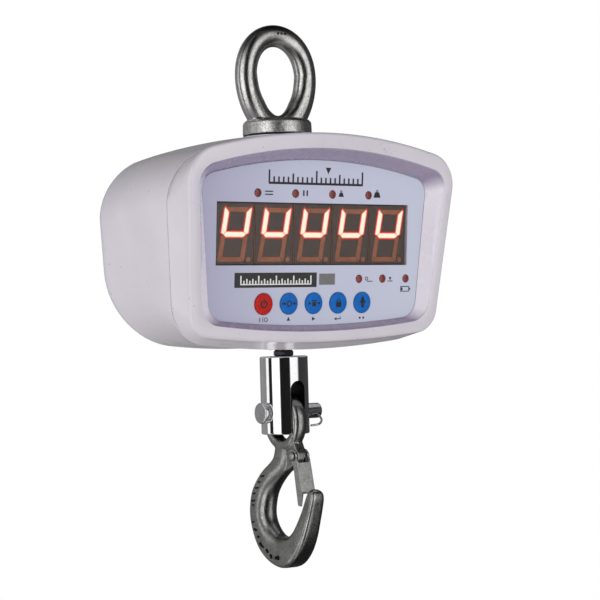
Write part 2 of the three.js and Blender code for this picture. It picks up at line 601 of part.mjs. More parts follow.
function makeBearing() {
  const { radius, top, bottom, wall, capHeight } = CUP;
  const inner = radius - wall;
  const cup = turned([[0, CELL.bottom + 14], [CELL_THREAD, CELL.bottom + 14], [CELL_THREAD, top],
    [radius - 1.5, top], [radius, top - 1.5], [radius, bottom], [inner, bottom],
    [inner, top - 6], [0, top - 6]]);
  add('bearing_cup', cup, steel);
  const capTop = bottom + capHeight;
  add('bearing_cap', tubeRing(STUD.radius + 0.6, inner - GAP, bottom, capTop), steel);
  const lower = capTop + GAP;
  const ballsAt = lower + RACE.thick + GAP + RACE.ball;
  const upper = ballsAt + RACE.ball + GAP;
  add('bearing_lower_race', tubeRing(RACE.inner, RACE.outer, lower, lower + RACE.thick), steel);
  add('bearing_upper_race', tubeRing(RACE.inner - 1.5, RACE.outer - 0.6, upper,
    upper + RACE.thick), steel);
  const pitch = (RACE.inner + RACE.outer) / 2;
  let cage = toSolid(tubeRing(RACE.inner + 1, RACE.outer - 1, ballsAt - 0.9, ballsAt + 0.9));
  for (let i = 0; i < RACE.balls; i += 1) {
    const angle = i * 2 * Math.PI / RACE.balls;
    cage = cage.add(toSolid(new THREE.SphereGeometry(RACE.ball, 8, 5).rotateX(Math.PI / 2)
      .translate(pitch * Math.cos(angle), pitch * Math.sin(angle), ballsAt)));
  }
  add('ball_cage', cage, steel);

  const nutBottom = upper + RACE.thick + GAP;
  const nutTop = nutBottom + 9;
  const cotterZ = nutTop - 2.5;
  const nut = cut(hexNut(19, STUD.radius, nutBottom, nutTop),
    toSolid(rod(1.5 + GAP, -12, 12, 'x', 12).translate(0, 0, cotterZ)));
  add('stud_nut', nut, steel);
  add('stud_cotter', rod(1.5, -9.6, 9.6, 'x', 12).translate(0, 0, cotterZ), steel);
  const stud = turned([[0, STUD.bottom], [STUD.radius - 1, STUD.bottom],
    [STUD.radius, STUD.bottom + 1], [STUD.radius, STUD.top - 1], [STUD.radius - 1, STUD.top],
    [0, STUD.top]]);
  add('hook_stud', cut(join(toSolid(stud), toSolid(hexRod(STUD.hexAcross, BLOCK.top + GAP,
    STUD.hexTop))), toSolid(rod(1.5 + GAP, -12, 12, 'x', 12).translate(0, 0, cotterZ))), blackened);
  add('bottom_boot', turned([[STUD.radius + 0.5, -199.6], [STUD.radius + 3, -199.6],
    [DRAIN_RADIUS + 2.4, -201.6], [DRAIN_RADIUS + 2.4, -203.1], [DRAIN_RADIUS - GAP, -203.1],
    [DRAIN_RADIUS - GAP, -208], [STUD.radius + 0.5, -208], [STUD.radius + 0.5, -199.6]]), rubber);
}

// ---------------------------------------------------------------- clevis, hook, latch
function makeClevis() {
  const { radius, top, bottom, slot, slotTop } = BLOCK;
  const body = turned([[0, bottom], [radius - 1.2, bottom], [radius, bottom + 1.2],
    [radius, top - 1.6], [radius - 1.6, top], [0, top]], 'z', 36);
  const half = slot / 2;
  const arch = new THREE.Shape();
  arch.moveTo(-half, bottom - 5);
  arch.lineTo(half, bottom - 5);
  arch.lineTo(half, slotTop - half);
  arch.absarc(0, slotTop - half, half, 0, Math.PI);
  arch.lineTo(-half, bottom - 5);
  const block = cut(toSolid(body), toSolid(slabY(arch, -radius - 2, radius + 2)),
    toSolid(rod(PIN.radius + GAP, -radius - 2, radius + 2, 'x', 24).translate(0, 0, PIN.z)),
    toSolid(rod(STUD.radius + GAP, STUD.bottom - 1, top + 2)));
  add('clevis_block', block, chrome);

  const pin = turned([[0, PIN.headFace], [PIN.headRadius - 0.6, PIN.headFace],
    [PIN.headRadius, PIN.headFace + 0.6], [PIN.headRadius, PIN.headFace + PIN.headThick],
    [PIN.radius, PIN.headFace + PIN.headThick], [PIN.radius, PIN.end - 1.4],
    [PIN.radius - 1.4, PIN.end], [0, PIN.end]], 'x', 24);
  const cross = rod(COTTER.radius + GAP, -9, 9, 'z', 12).rotateX(COTTER.lean)
    .translate(COTTER.x, 0, 0);
  add('clevis_pin', cut(toSolid(pin), toSolid(cross)), chrome).position.z = PIN.z;
}

const COTTER = { x: 24.6, radius: 0.8, lean: -60 * DEG };

// The split pin goes through the clevis pin from behind, and its long leg is bent underneath.
function makeSplitPin() {
  const along = (s, side = 0) => {
    const back = Math.cos(-COTTER.lean - Math.PI / 2);
    const up = Math.sin(Math.PI / 2 + COTTER.lean);
    return [COTTER.x, s * back - side * up, s * up + side * back];
  };
  const leg = wire([along(9.2), along(5), along(0), along(-5.6), [COTTER.x + 0.2, -8.2, -6.2],
    [COTTER.x - 0.6, -6.8, -9], [COTTER.x - 3.4, -5.8, -9.7], [COTTER.x - 6.6, -5.2, -9.9]],
  COTTER.radius, 18, 6);
  const [x, y, z] = along(9.6);
  const loop = new THREE.TorusGeometry(2.3, COTTER.radius, 6, 14).rotateY(Math.PI / 2)
    .translate(x, y + 1.2, z + 0.7);
  add('split_pin', join(toSolid(leg), toSolid(loop)), steel).position.z = PIN.z;
}

// Forged body of the hook in side view, [y, z] pairs: down the back, round the bowl to the tip,
// and back along the inside.
const HOOK_BACK = [[8, -276], [9.6, -281.2], [14.2, -286.2], [22, -292], [30, -300.5], [35.8, -311.5],
  [36.6, -322], [34, -334.5], [27, -345.8], [16, -353.6], [3, -357.2], [-8, -355.4],
  [-18, -348], [-25.5, -337.5], [-31, -325], [-35, -313]];
const HOOK_TIP = [[-36.5, -307.2], [-35, -303.4], [-31.2, -302.2], [-27.8, -304.4]];
const HOOK_INSIDE = [[-24.6, -311.5], [-20.4, -319.5], [-13.9, -328], [-7, -334], [2, -336.2],
  [10.6, -333.4], [16.6, -327.8], [19.2, -320.5], [17.6, -311.5], [11.5, -302.5], [3, -295.5],
  [-5, -290.5], [-8.5, -287]];

function hookBody() {
  const shape = new THREE.Shape();
  const vectors = (list) => list.map(([y, z]) => new THREE.Vector2(y, z));
  shape.moveTo(...HOOK_BACK[0]);
  shape.splineThru(vectors(HOOK_BACK.slice(1)));
  shape.splineThru(vectors(HOOK_TIP));
  shape.splineThru(vectors(HOOK_INSIDE));
  shape.lineTo(-7.5, -277);
  shape.lineTo(...HOOK_BACK[0]);
  const outlinePoints = shape.getSpacedPoints(75).slice(0, -1);
  const body = slabX(new THREE.Shape(outlinePoints), HOOK.thick, HOOK.bevel);
  return toSolid(narrowTip(body));
}

// The forging thins towards its tip and towards the neck.
function narrowTip(geometry) {
  const position = geometry.attributes.position;
  for (let i = 0; i < position.count; i += 1) {
    const [y, z] = [position.getY(i), position.getZ(i)];
    const tip = THREE.MathUtils.smoothstep(z, -338, -303) * THREE.MathUtils.smoothstep(-y, 6, 26);
    const neck = THREE.MathUtils.smoothstep(z, -300, -280);
    position.setX(i, position.getX(i) * (1 - 0.36 * tip) * (1 - 0.42 * neck));
  }
  return geometry;
}

function makeHook() {
  const { eyeZ, eyeHole, eyeRadius, eyeThick } = HOOK;
  const half = eyeThick / 2;
  const soft = 2.6;
  const eye = turned([[eyeHole, -half + soft], [eyeHole + soft, -half], [eyeRadius - soft, -half],
    [eyeRadius, -half + soft], [eyeRadius, half - soft], [eyeRadius - soft, half],
    [eyeHole + soft, half], [eyeHole, half - soft], [eyeHole, -half + soft]], 'x', 32);
  const neck = new THREE.Shape(HOOK_NECK.map(([y, z]) => new THREE.Vector2(y, z)));
  const hole = toSolid(rod(eyeHole, -10, 10, 'x', 32).translate(0, 0, eyeZ));
  const rivetHole = toSolid(rod(LATCH.rivet + GAP, -10, 10, 'x', 20)
    .translate(0, LATCH.y, LATCH.z));
  const horn = toSolid(slabX(neck, 2 * (LATCH.inner - GAP - 0.2), 1.2, 8, 2));
  const hook = join(toSolid(eye.translate(0, 0, eyeZ)), cut(horn, hole), hookBody());
  add('hook', cut(hook, rivetHole, springPocket()), forged);
}

// Room beside the horn for the latch spring's coil and its leg.
function springPocket() {
  const { y, z } = LATCH;
  const width = SPRING.to - SPRING.from + 3;
  const middle = SPRING.from - 0.6 + width / 2;
  return join(toSolid(rod(SPRING.coil + 1.2, middle - width / 2, middle + width / 2, 'x', 24)
    .translate(0, y, z)), box(width, 12, 13, middle, y - 6, z - 6));
}

function makeSpring() {
  const { y, z } = LATCH;
  const points = [];
  const perTurn = 8;
  for (let i = 0; i <= SPRING.turns * perTurn; i += 1) {
    const angle = Math.PI / 2 + i * 2 * Math.PI / perTurn;
    const x = SPRING.from + (SPRING.to - SPRING.from) * i / (SPRING.turns * perTurn);
    points.push([x, y + SPRING.coil * Math.cos(angle), z + SPRING.coil * Math.sin(angle)]);
  }
  points.push([SPRING.to, y - SPRING.coil - 0.3, z - 2.2], [SPRING.to, y - 4.3, z - 6],
    [SPRING.to, -19.6, z - 10.5]);
  add('latch_spring', wire(points, SPRING.wire, 60, 6), steel);
}

const HOOK_NECK = [[9.5, -272], [6, -275], [6.5, -284], [0, -292], [-8, -289.4], [-13.2, -286.6],
  [-17.2, -284.9], [-19.3, -282.6], [-19.2, -278.6], [-16.8, -275], [-14.5, -270.5], [-8, -270],
  [0, -272]];

// Bent-sheet latch: two cheeks on the rivet and a web between them that meets the hook's tip.
function makeLatch() {
  const { y, z, inner, sheet } = LATCH;
  const outer = inner + sheet;
  const side = new THREE.Shape();
  side.moveTo(y - 4.6, z - 0.5);
  side.absarc(y, z, 4.6, Math.PI, 0, true);
  side.lineTo(y - 0.8, z - 6.2);
  side.lineTo(-19.4, -313.4);
  side.lineTo(-22.9, -313.9);
  side.lineTo(-25.3, -305.2);
  side.lineTo(-20.4, -283.6);
  side.lineTo(y - 4.6, z - 0.5);
  const cheeks = toSolid(slabX(side, 2 * outer, 0, 8));
  const between = new THREE.Shape();
  between.moveTo(y - 10, z + 6);
  between.lineTo(y + 10, z + 6);
  between.lineTo(y + 10, -320);
  between.lineTo(-30, -320);
  between.lineTo(-30, -305.6);
  between.lineTo(-24.0, -305.2);
  between.lineTo(-19.2, -284.6);
  between.lineTo(-30, -283.6);
  const rivetHole = rod(LATCH.rivet + GAP, -12, 12, 'x', 20).translate(0, y, z);
  add('latch', cut(cheeks, toSolid(slabX(between, 2 * inner, 0, 8)), toSolid(rivetHole)), steel);

  const headRadius = 3.3;
  const end = outer + GAP;
  add('latch_rivet', turned([[0, -end - 2], [headRadius - 1.2, -end - 2],
    [headRadius, -end - 0.9], [headRadius, -end], [LATCH.rivet, -end], [LATCH.rivet, end],
    [headRadius, end], [headRadius, end + 0.9], [headRadius - 1.2, end + 2], [0, end + 2]],
  'x', 14).translate(0, y, z), steel);
}

// ---------------------------------------------------------------- power and electronics
function makeElectronics() {
  const { width, depth, height, y, bottom } = BATTERY;
  const middle = bottom + height / 2;
  const cell = join(box(width, depth, height, 0, y + depth / 2, middle),
    box(6, 8, 6, -38, y + depth / 2, bottom + height + 2.9),
    box(6, 8, 6, 38, y + depth / 2, bottom + height + 2.9));
  add('battery', cell, batteryCase);
  const tray = cut(box(width + 5, depth - 2, 26, 0, y + depth / 2 - 1, bottom + 10.7),
    box(width + 2 * GAP, depth + 9, 40, 0, y + depth / 2, bottom + 20 - GAP));
  add('battery_bracket', tray, aluminium);

  const plate = box(1.6, 62, 74, 72, 18, -136);
  const chips = [[8, -120, 18, 18], [34, -118, 12, 14], [14, -152, 26, 10], [38, -152, 10, 20]];
  const parts = chips.map(([cy, cz, w, h]) => box(4, w, h, 69.6, cy, cz));
  add('main_board', join(plate, ...parts), board);

  const cableRadius = 2;
  const cable = wire([[CELL.width / 2 + GAP, 0, -138], [36, 0, -138], [44, 2, -142],
    [52, 8, -150], [58, 12, -153], [67.2, 14, -152]], cableRadius, 12);
  add('load_cell_cable', cable, rubber);

  const { x, z, radius } = SOCKET;
  const body = turned([[3, REAR_Y + GAP + 2], [radius + 2.5, REAR_Y + GAP + 2],
    [radius + 2.5, REAR_Y + GAP], [radius, REAR_Y + GAP], [radius, REAR_Y - 14],
    [0, REAR_Y - 14], [0, REAR_Y - 11], [3, REAR_Y - 11], [3, REAR_Y + GAP + 2]], 'y', 18);
  add('charge_socket', body, blackPlastic).position.set(x, 0, z);
  const face = REAR_Y + GAP + 2 + GAP;
  const cap = turned([[0, REAR_Y - 5], [2.2, REAR_Y - 5], [2.6, REAR_Y - 4], [2.6, face],
    [radius + 3, face], [radius + 3, face + 1.4], [radius + 1.4, face + 2.6], [0, face + 2.6]],
  'y', 18);
  add('socket_cap', cap, rubber).position.set(x, 0, z);
}

makeEye();
makeFrontCover();
makeRearCover();
makeSeal();
makeFasteners();
makePanel();
makeDisplay();
makeKeys();
makeCell();
makeBearing();
makeClevis();
makeSplitPin();
makeHook();
makeLatch();
makeSpring();
makeElectronics();

export default scale;
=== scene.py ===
"""Looks of a hanging crane scale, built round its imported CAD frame: a painted housing with a
tilted key panel, a forged lifting eye, and a swivelling clevis with an eye hook and its latch.
Shapes are written in millimetres and made in metres."""
import math
from collections import namedtuple

import bmesh
import bpy
from mathutils import Matrix, Vector


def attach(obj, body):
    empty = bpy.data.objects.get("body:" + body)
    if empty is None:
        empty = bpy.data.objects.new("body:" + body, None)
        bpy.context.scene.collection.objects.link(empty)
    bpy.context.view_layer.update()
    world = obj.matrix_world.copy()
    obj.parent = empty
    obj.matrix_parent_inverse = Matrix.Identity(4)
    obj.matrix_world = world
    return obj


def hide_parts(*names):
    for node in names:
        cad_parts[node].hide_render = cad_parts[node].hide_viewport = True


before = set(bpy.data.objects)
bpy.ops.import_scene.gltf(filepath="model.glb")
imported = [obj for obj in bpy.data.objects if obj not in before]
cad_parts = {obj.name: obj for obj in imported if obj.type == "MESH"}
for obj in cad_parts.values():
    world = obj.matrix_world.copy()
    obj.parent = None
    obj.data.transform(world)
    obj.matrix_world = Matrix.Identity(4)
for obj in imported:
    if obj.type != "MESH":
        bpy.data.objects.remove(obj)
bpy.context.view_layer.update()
scene = bpy.context.scene

MM = 0.001
DEG = math.pi / 180

# ---------------------------------------------------------------- driving dimensions
Edge = namedtuple("Edge", "top top_sag bottom bottom_sag half slope top_radius bottom_radius")
LIP_OUTER = Edge(70.4, 7.7, -69.7, 3.5, 105.6, 0.08, 19, 13)
LIP_INNER = Edge(59.6, 8.2, -62, 4.4, 97.4, 0.088, 11, 12)
PANEL_EDGE = Edge(56.6, 8.2, -53.9, 3.9, 88.9, 0.083, 9, 10)
JOINT_EDGE = Edge(74, 10.8, -71.1, 4.2, 108.3, 0.075, 26, 23)
MIDDLE_EDGE = Edge(73, 11.6, -72.4, 5, 108.2, 0.068, 27, 33)
REAR_EDGE = Edge(72.5, 13, -72.2, 6, 105.2, 0.062, 29, 44)

GAP = 0.3
WALL = 3.4
SEAL = 1.2
MID = -134.6
TILT = 5 * DEG
LIP_TILT = 9 * DEG
LIP_DEPTH = -51.6
LIP_ROUND = 2.4
LIP_INSIDE_ROUND = 0.7
PARTING = -30
PANEL_FACE, PANEL_SEAT, PANEL_BACK = -42.6, -41.6, -38.6
FILM = 0.7
REAR_Y, REAR_ROUND = 74, 17
SEAT_TOP, SEAT_RADIUS, DRAIN_RADIUS = -62.3, 25, 10.5

EYE_STOCK, EYE_HALF, EYE_TOP, EYE_BOTTOM, EYE_EGG = 15.1, 24.6, 7.55, -57.8, 0.12
EYE_SADDLE = -47.3
# Middle of the stock that narrows the lower half of the hole, from a leg down to the bottom.
EYE_FORK = ((24.5, -20), (23.7, -26), (22.5, -31.7), (20.4, -37.1), (17.9, -41.6), (15.0, -46.5),
            (10.9, -50.7), (5.6, -53.8))
COLLAR_RADIUS, COLLAR_TOP, COLLAR_BOTTOM = 23.8, -50.9, -61.0
SHANK_RADIUS, SHANK_BOTTOM, THREAD_RADIUS, THREAD_BOTTOM = 12, -86, 8, -113
EYE_MARK_X, EYE_MARK_Z, EYE_MARK_PITCH, EYE_MARK_RADIUS = 0.6, 8.3, 2.8, 0.8

WINDOW_X, WINDOW_Z, WINDOW_W, WINDOW_H = -1.6, 7, 157.4, 41.4
DIGITS, DIGIT_PITCH, DIGIT_W, DIGIT_H, DIGIT_D = 5, 31.48, 31.1, 47, 10.5
LAMP_RADIUS = 2.75
LAMPS = {
    "indicator_stable": (-48.5, 33.8), "indicator_hold": (-18.3, 33.8),
    "indicator_pounds": (12.1, 33.8), "indicator_kilograms": (42.6, 33.8),
    "indicator_zero": (36.1, -23), "indicator_tare": (56.3, -23),
    "indicator_low_battery": (76.6, -23),
}
KEY_RADIUS, KEY_Z, KEY_PROUD, KEY_STEM, KEY_FOOT = 7.15, -39.1, 0.8, 2.5, -35.9
# The printed tick scale, capacity plate and badge, in the panel's own x and z.
SCALE_X, SCALE_Z, SCALE_PITCH = -1.4, 40.5, 3.83
PLATE_X, PLATE_Z, PLATE_PITCH = -32.5, -23.4, 2.34
BADGE_X, BADGE_Z = 9.05, -23.05
KEYS = {"key_power": -42.3, "key_zero": -22, "key_tare": -1.7, "key_hold": 18.7, "key_shift": 39}

BLOCK_RADIUS, BLOCK_TOP, BLOCK_BOTTOM, SLOT, SLOT_TOP = 16.5, -212.4, -265.6, 11.5, -229.2
PIN_Z, PIN_RADIUS, PIN_HEAD, PIN_FACE, PIN_THICK, PIN_END = -250.8, 5.25, 7.2, -20.8, 4, 28
STUD_RADIUS, STUD_TOP, STUD_BOTTOM, HEX_FLATS, HEX_TOP = 6, -168, -224, 13, -208.7
BOOT_TOP, BOOT_STEP, BOOT_BOTTOM = -199.6, -203.1, -208
HOOK_EYE_Z, HOOK_EYE_HOLE, HOOK_EYE_RADIUS, HOOK_EYE_THICK = PIN_Z - 6.35, 12, 20.5, 10.5
LATCH_Y, LATCH_Z, LATCH_INNER, LATCH_SHEET, RIVET = -14.5, -280.3, 4.4, 1.2, 1.9
SPRING_FROM, SPRING_TO, SPRING_TURNS, SPRING_COIL, SPRING_WIRE = 1.5, 3.7, 2.25, 2.9, 0.35
COTTER_X, COTTER_RADIUS, COTTER_LEAN = 24.6, 0.8, -60 * DEG
SCREWS = [(-78, -92), (78, -92), (-76, -180), (76, -180)]
COVER_HEAD, COVER_SHANK, DOOR_HEAD, DOOR_SHANK, DOOR_SINK = 4, 2, 2.8, 1.5, 1.5
DOOR_W, DOOR_H, DOOR_THICK, DOOR_Z, DOOR_SCREW_IN = 122, 88, 2.6, -135, 4
SOCKET_X, SOCKET_Z, SOCKET_RADIUS = 75, -135, 5.5

# ---------------------------------------------------------------- camera, light and floor
VIEW_TURN = 35 * DEG
VIEW_ROLL = 1.6 * DEG
# The camera looks a little to the right of its level heading and above it, by these slopes.
AIM_RIGHT, AIM_UP = 0.009, 0.0173684
CAMERA_PLACE = (-0.7476, -1.0677, -0.1966)
CAMERA_LENS, CAMERA_SENSOR = 114, 36


def make_camera():
    side = Vector((math.cos(VIEW_TURN), -math.sin(VIEW_TURN), 0))
    ahead = Vector((math.sin(VIEW_TURN), math.cos(VIEW_TURN), 0))
    up = Vector((0, 0, 1))
    right = side * math.cos(VIEW_ROLL) - up * math.sin(VIEW_ROLL)
    top = side * math.sin(VIEW_ROLL) + up * math.cos(VIEW_ROLL)
    forward = (ahead + right * AIM_RIGHT + top * AIM_UP).normalized()
    right = (right - forward * right.dot(forward)).normalized()
    top = right.cross(forward)
    camera = bpy.data.objects.new("camera", bpy.data.cameras.new("camera"))
    camera.data.lens = CAMERA_LENS
    camera.data.sensor_width = CAMERA_SENSOR
    camera.matrix_world = Matrix((right, top, -forward)).transposed().to_4x4()
    camera.location = CAMERA_PLACE
    scene.collection.objects.link(camera)
    scene.camera = camera


class Nodes:
    """A node tree, with short ways to add the nodes that the world and the materials use."""

    def __init__(self, tree):
        self.tree = tree

    def put(self, socket, value):
        if isinstance(value, bpy.types.NodeSocket):
            self.tree.links.new(value, socket)
        else:
            socket.default_value = value

    def new(self, kind, *inputs, **settings):
        """A node with these settings, and with its first sockets filled."""
        made = self.tree.nodes.new(kind)
        for key, value in settings.items():
            setattr(made, key, value)
        for socket, value in zip(made.inputs, inputs):
            self.put(socket, value)
        return made

    def maths(self, operation, first, second=0.0):
        return self.new("ShaderNodeMath", first, second, operation=operation).outputs[0]

    def remap(self, value, low, high, start=0.35, end=0.65, kind="LINEAR"):
        """From low at start to high at end."""
        return self.new("ShaderNodeMapRange", value, start, end, low, high,
                        interpolation_type=kind).outputs[0]

    def split(self, vector):
        return self.new("ShaderNodeSeparateXYZ", vector).outputs

    def ramp(self, value, *stops):
        made = self.new("ShaderNodeValToRGB", value)
        elements = made.color_ramp.elements
        while len(elements) < len(stops):
            elements.new(0.5)
        for element, (position, colour) in zip(elements, stops):
            element.position = position
            element.color = colour
        return made.outputs[0]


# Reflected studio, going round from behind the object: (angle left of the camera, brightness).
STUDIO = [(-180, 0.06), (-84, 0.04), (-74, 0.05), (-67, 1.15), (-31, 1.25), (-27, 0.012),
          (19, 0.01), (23, 1.6), (58, 1.6), (61, 0.02), (77, 0.02), (80, 1.2), (92, 1.2),
          (97, 0.27), (130, 0.3), (180, 0.2)]


def make_world():
    """Camera rays see white, mirror-like rays the banded studio, and all others a soft sky."""
    world = bpy.data.worlds.new("studio")
    scene.world = world
    world.use_nodes = True
    world.node_tree.nodes.clear()
    made = Nodes(world.node_tree)
    x, y, z = made.split(made.new("ShaderNodeTexCoord").outputs["Generated"])
    sine, cosine = math.sin(VIEW_TURN), math.cos(VIEW_TURN)
    left = made.maths("ADD", made.maths("MULTIPLY", x, -cosine), made.maths("MULTIPLY", y, sine))
    near = made.maths("ADD", made.maths("MULTIPLY", x, -sine), made.maths("MULTIPLY", y, -cosine))
    turns = made.maths("DIVIDE", made.maths("ARCTAN2", left, near), 2 * math.pi)
    bands = made.ramp(made.maths("ADD", turns, 0.5), *(
        ((angle + 180) / 360, (level, level, level * 1.01, 1)) for angle, level in STUDIO))
    fade_up = made.remap(z, 1.0, 0.08, 0.3, 0.85, "SMOOTHSTEP")
    fade_down = made.remap(z, 0.42, 1.0, -0.9, -0.35, "SMOOTHSTEP")
    sky = made.remap(made.maths("ABSOLUTE", z), 0.92, 0.14, 0.25, 0.85, "SMOOTHSTEP")

    def light(colour, strength):
        return made.new("ShaderNodeBackground", colour, strength).outputs[0]

    def mix(factor, first, second):
        return made.new("ShaderNodeMixShader", factor, first, second).outputs[0]

    path = made.new("ShaderNodeLightPath").outputs
    soft = light((0.97, 0.96, 1.0, 1), sky)
    mirrored = light(bands, made.maths("MULTIPLY", fade_up, fade_down))
    lit = mix(path["Is Glossy Ray"], soft, mirrored)
    plain = light((1, 1, 1, 1), 1.0)
    made.new("ShaderNodeOutputWorld", mix(path["Is Camera Ray"], lit, plain))


# Soft lights: (name, place, size, power), all aimed at the middle of the object.
LIGHTS = [("softbox_left", (-1.8, -0.2, -0.1), 1.0, 8.5),
          ("softbox_right", (0.5, -1.7, -0.1), 1.0, 5),
          ("softbox_back", (1.1, 1.3, 0.3), 1.2, 6)]
LIGHT_AIM = Vector((0, 0.02, -0.14))


def make_lights():
    for name, place, size, power in LIGHTS:
        data = bpy.data.lights.new(name, "AREA")
        data.size = size
        data.energy = power
        data.shape = "SQUARE"
        lamp = bpy.data.objects.new(name, data)
        lamp.location = place
        aim = LIGHT_AIM - Vector(place)
        lamp.rotation_euler = aim.to_track_quat("-Z", "Y").to_euler()
        lamp.visible_camera = False
        lamp.visible_glossy = False
        scene.collection.objects.link(lamp)


# ---------------------------------------------------------------- materials
def srgb(*levels):
    linear = [c / 255 / 12.92 if c <= 10 else ((c / 255 + 0.055) / 1.055) ** 2.4 for c in levels]
    return (*linear, 1)


class Finish(Nodes):
    """A procedural material built round one Principled shader."""

    def __init__(self, name, **sockets):
        self.material = bpy.data.materials.new(name)
        self.material.use_nodes = True
        super().__init__(self.material.node_tree)
        self.shader = self.tree.nodes["Principled BSDF"]
        self.set(self.shader, **sockets)
        self.place = self.new("ShaderNodeTexCoord").outputs["Object"]

    def set(self, node, **sockets):
        for key, value in sockets.items():
            self.put(node.inputs[key.replace("_", " ")], value)

    def noise(self, size, detail=3.0, stretch=(1, 1, 1), roughness=0.5):
        """Noise with features of about this size in millimetres."""
        shift = self.new("ShaderNodeMapping", self.place)
        shift.inputs["Scale"].default_value = stretch
        made = self.new("ShaderNodeTexNoise")
        self.set(made, Vector=shift.outputs[0], Scale=1 / (size * MM), Detail=detail,
                 Roughness=roughness)
        return made.outputs["Fac"]

    def mix(self, factor, first, second):
        made = self.new("ShaderNodeMix", data_type="RGBA")
        for index, value in zip((0, 6, 7), (factor, first, second)):
            self.put(made.inputs[index], value)
        return made.outputs[2]

    def bump(self, *layers):
        """Layers of (height, depth in millimetres), the first underneath."""
        normal = None
        for height, depth in layers:
            made = self.new("ShaderNodeBump")
            self.set(made, Height=height, Distance=depth * MM, Strength=1.0)
            if normal is not None:
                self.set(made, Normal=normal)
            normal = made.outputs[0]
        self.set(self.shader, Normal=normal)

    def done(self, colour, roughness):
        self.set(self.shader, Base_Color=colour, Roughness=roughness)
        return self.material


def paint_finish(name, light, dark, gloss=(0.16, 0.24), peel=0.0025):
    """Glossy sprayed paint with orange peel, faint clouding and a few specks of dirt."""
    made = Finish(name, Coat_Weight=0.5, Coat_Roughness=0.22)
    clouds = made.ramp(made.noise(38), (0.35, dark), (0.65, light))
    specks = made.remap(made.noise(2.6, 1.0), 0.0, 0.5, 0.765, 0.79)
    colour = made.mix(specks, clouds, srgb(92, 84, 88))
    made.bump((made.noise(14, 1.0), peel * 6), (made.noise(1.4, 2.0), peel))
    return made.done(colour, made.remap(made.noise(7), *gloss))


def recess_wall_shade_finish():
    """The same paint on the walls round the panel, dulled violet by painted shade where they face up
    or down.
    """
    made = Finish("recess_wall_paint_and_shade", Coat_Weight=0.3, Coat_Roughness=0.15)
    up = made.split(made.new("ShaderNodeNewGeometry").outputs["Normal"])[2]
    # Painted shade: the walls darken to violet the more they face up or down, stirred with faint
    # random clouding.
    painted_shade_by_facing = made.remap(made.maths("ABSOLUTE", up), 0.0, 1.0, 0.15, 0.7)
    clouds = made.maths("ADD", painted_shade_by_facing, made.remap(made.noise(20), -0.02, 0.02))
    colour = made.ramp(clouds, (0.0, srgb(228, 222, 230)), (0.5, srgb(190, 181, 197)),
                       (1.0, srgb(152, 141, 163)))
    made.bump((made.noise(14, 1.0), 0.015), (made.noise(1.4, 2.0), 0.003))
    return made.done(colour, made.remap(made.noise(7), 0.2, 0.3))


def metal_finish(name, light, dark, gloss, grain, depth, patch=5.0, roll=0.0):
    """Metal with a grain of pits in it: light on the high spots, dark in the low ones."""
    made = Finish(name, Metallic=1.0)
    pits = made.noise(grain, 4.0, roughness=0.65)
    patches = made.noise(patch, 2.0)
    level = made.maths("ADD", made.maths("MULTIPLY", pits, 0.8),
                       made.maths("MULTIPLY", patches, 0.2))
    colour = made.ramp(level, (0.36, dark), (0.62, light))
    made.bump((patches, roll), (pits, depth))
    return made.done(colour, made.remap(level, gloss[1], gloss[0]))


def plastic_finish(name, light, dark, gloss=(0.35, 0.5), grain=0.5, depth=0.012, coat=0.0,
                   shine=0.5):
    """Moulded plastic or rubber with a fine spark-eroded texture."""
    made = Finish(name, Coat_Weight=coat, Coat_Roughness=0.12, Specular_IOR_Level=shine)
    colour = made.ramp(made.noise(grain * 9, 4.0), (0.35, dark), (0.65, light))
    made.bump((made.noise(grain, 2.0), depth))
    return made.done(colour, made.remap(made.noise(grain * 5), *gloss))


def film_finish():
    """Printed polycarbonate film with fine rubbed scratches, and painted shade across it: darker and
    warmer towards its left, lighter and cooler towards its right.
    """
    made = Finish("panel_film", Coat_Weight=0.15, Coat_Roughness=0.2)
    across = made.remap(made.split(made.place)[0], 0.0, 1.0, -0.09, 0.09)
    # Painted shade: the film's colour darkens towards its left and lightens towards its right.
    film_with_painted_shade = made.ramp(across, (0.0, srgb(171, 170, 194)), (0.4, srgb(191, 194, 212)),
                     (1.0, srgb(198, 203, 219)))
    rubs = made.remap(made.noise(1.1, 3.0, (1, 1, 5)), 0.0, 0.28, 0.66, 0.8)
    worn = made.maths("MULTIPLY", rubs, made.remap(across, 1.0, 0.15, 0.0, 0.3))
    made.bump((made.noise(0.35, 1.0), 0.004))
    return made.done(made.mix(worn, film_with_painted_shade, srgb(140, 140, 168)),
                     made.remap(made.noise(9), 0.3, 0.42))


def filter_finish():
    """Smoked acrylic window, with faint diagonal wipe marks."""
    made = Finish("smoked_window", Alpha=0.12, Coat_Weight=0.0)
    made.material.surface_render_method = "BLENDED"
    wipes = made.noise(1.2, 3.0, (3, 1, 1))
    colour = made.ramp(wipes, (0.4, srgb(70, 62, 56)), (0.7, srgb(96, 88, 82)))
    made.bump((made.noise(30, 1.0), 0.01))
    return made.done(colour, made.remap(wipes, 0.1, 0.2))


def glow_finish():
    """Display segments. The glow attribute is 1 in a lit segment's core and fades round it."""
    made = Finish("segment_glow", Coat_Weight=0.0)
    glow = made.new("ShaderNodeAttribute", attribute_name="glow").outputs["Fac"]
    uneven = made.maths("MULTIPLY", glow, made.remap(made.noise(2.4), 0.94, 1.04))
    emitted = made.ramp(uneven, (0.0, (0, 0, 0, 1)), (0.16, srgb(66, 12, 8)),
                        (0.42, srgb(232, 32, 20)), (0.6, srgb(255, 92, 58)),
                        (0.74, srgb(255, 196, 160)), (0.9, srgb(255, 238, 216)))
    ground = made.ramp(made.noise(0.8), (0.35, srgb(83, 71, 65)), (0.65, srgb(92, 79, 73)))
    made.set(made.shader, Emission_Color=emitted, Emission_Strength=1.35)
    made.bump((made.noise(0.4), 0.005))
    return made.done(made.mix(glow, ground, (0.05, 0.01, 0.01, 1)), made.remap(ground, 0.5, 0.6))


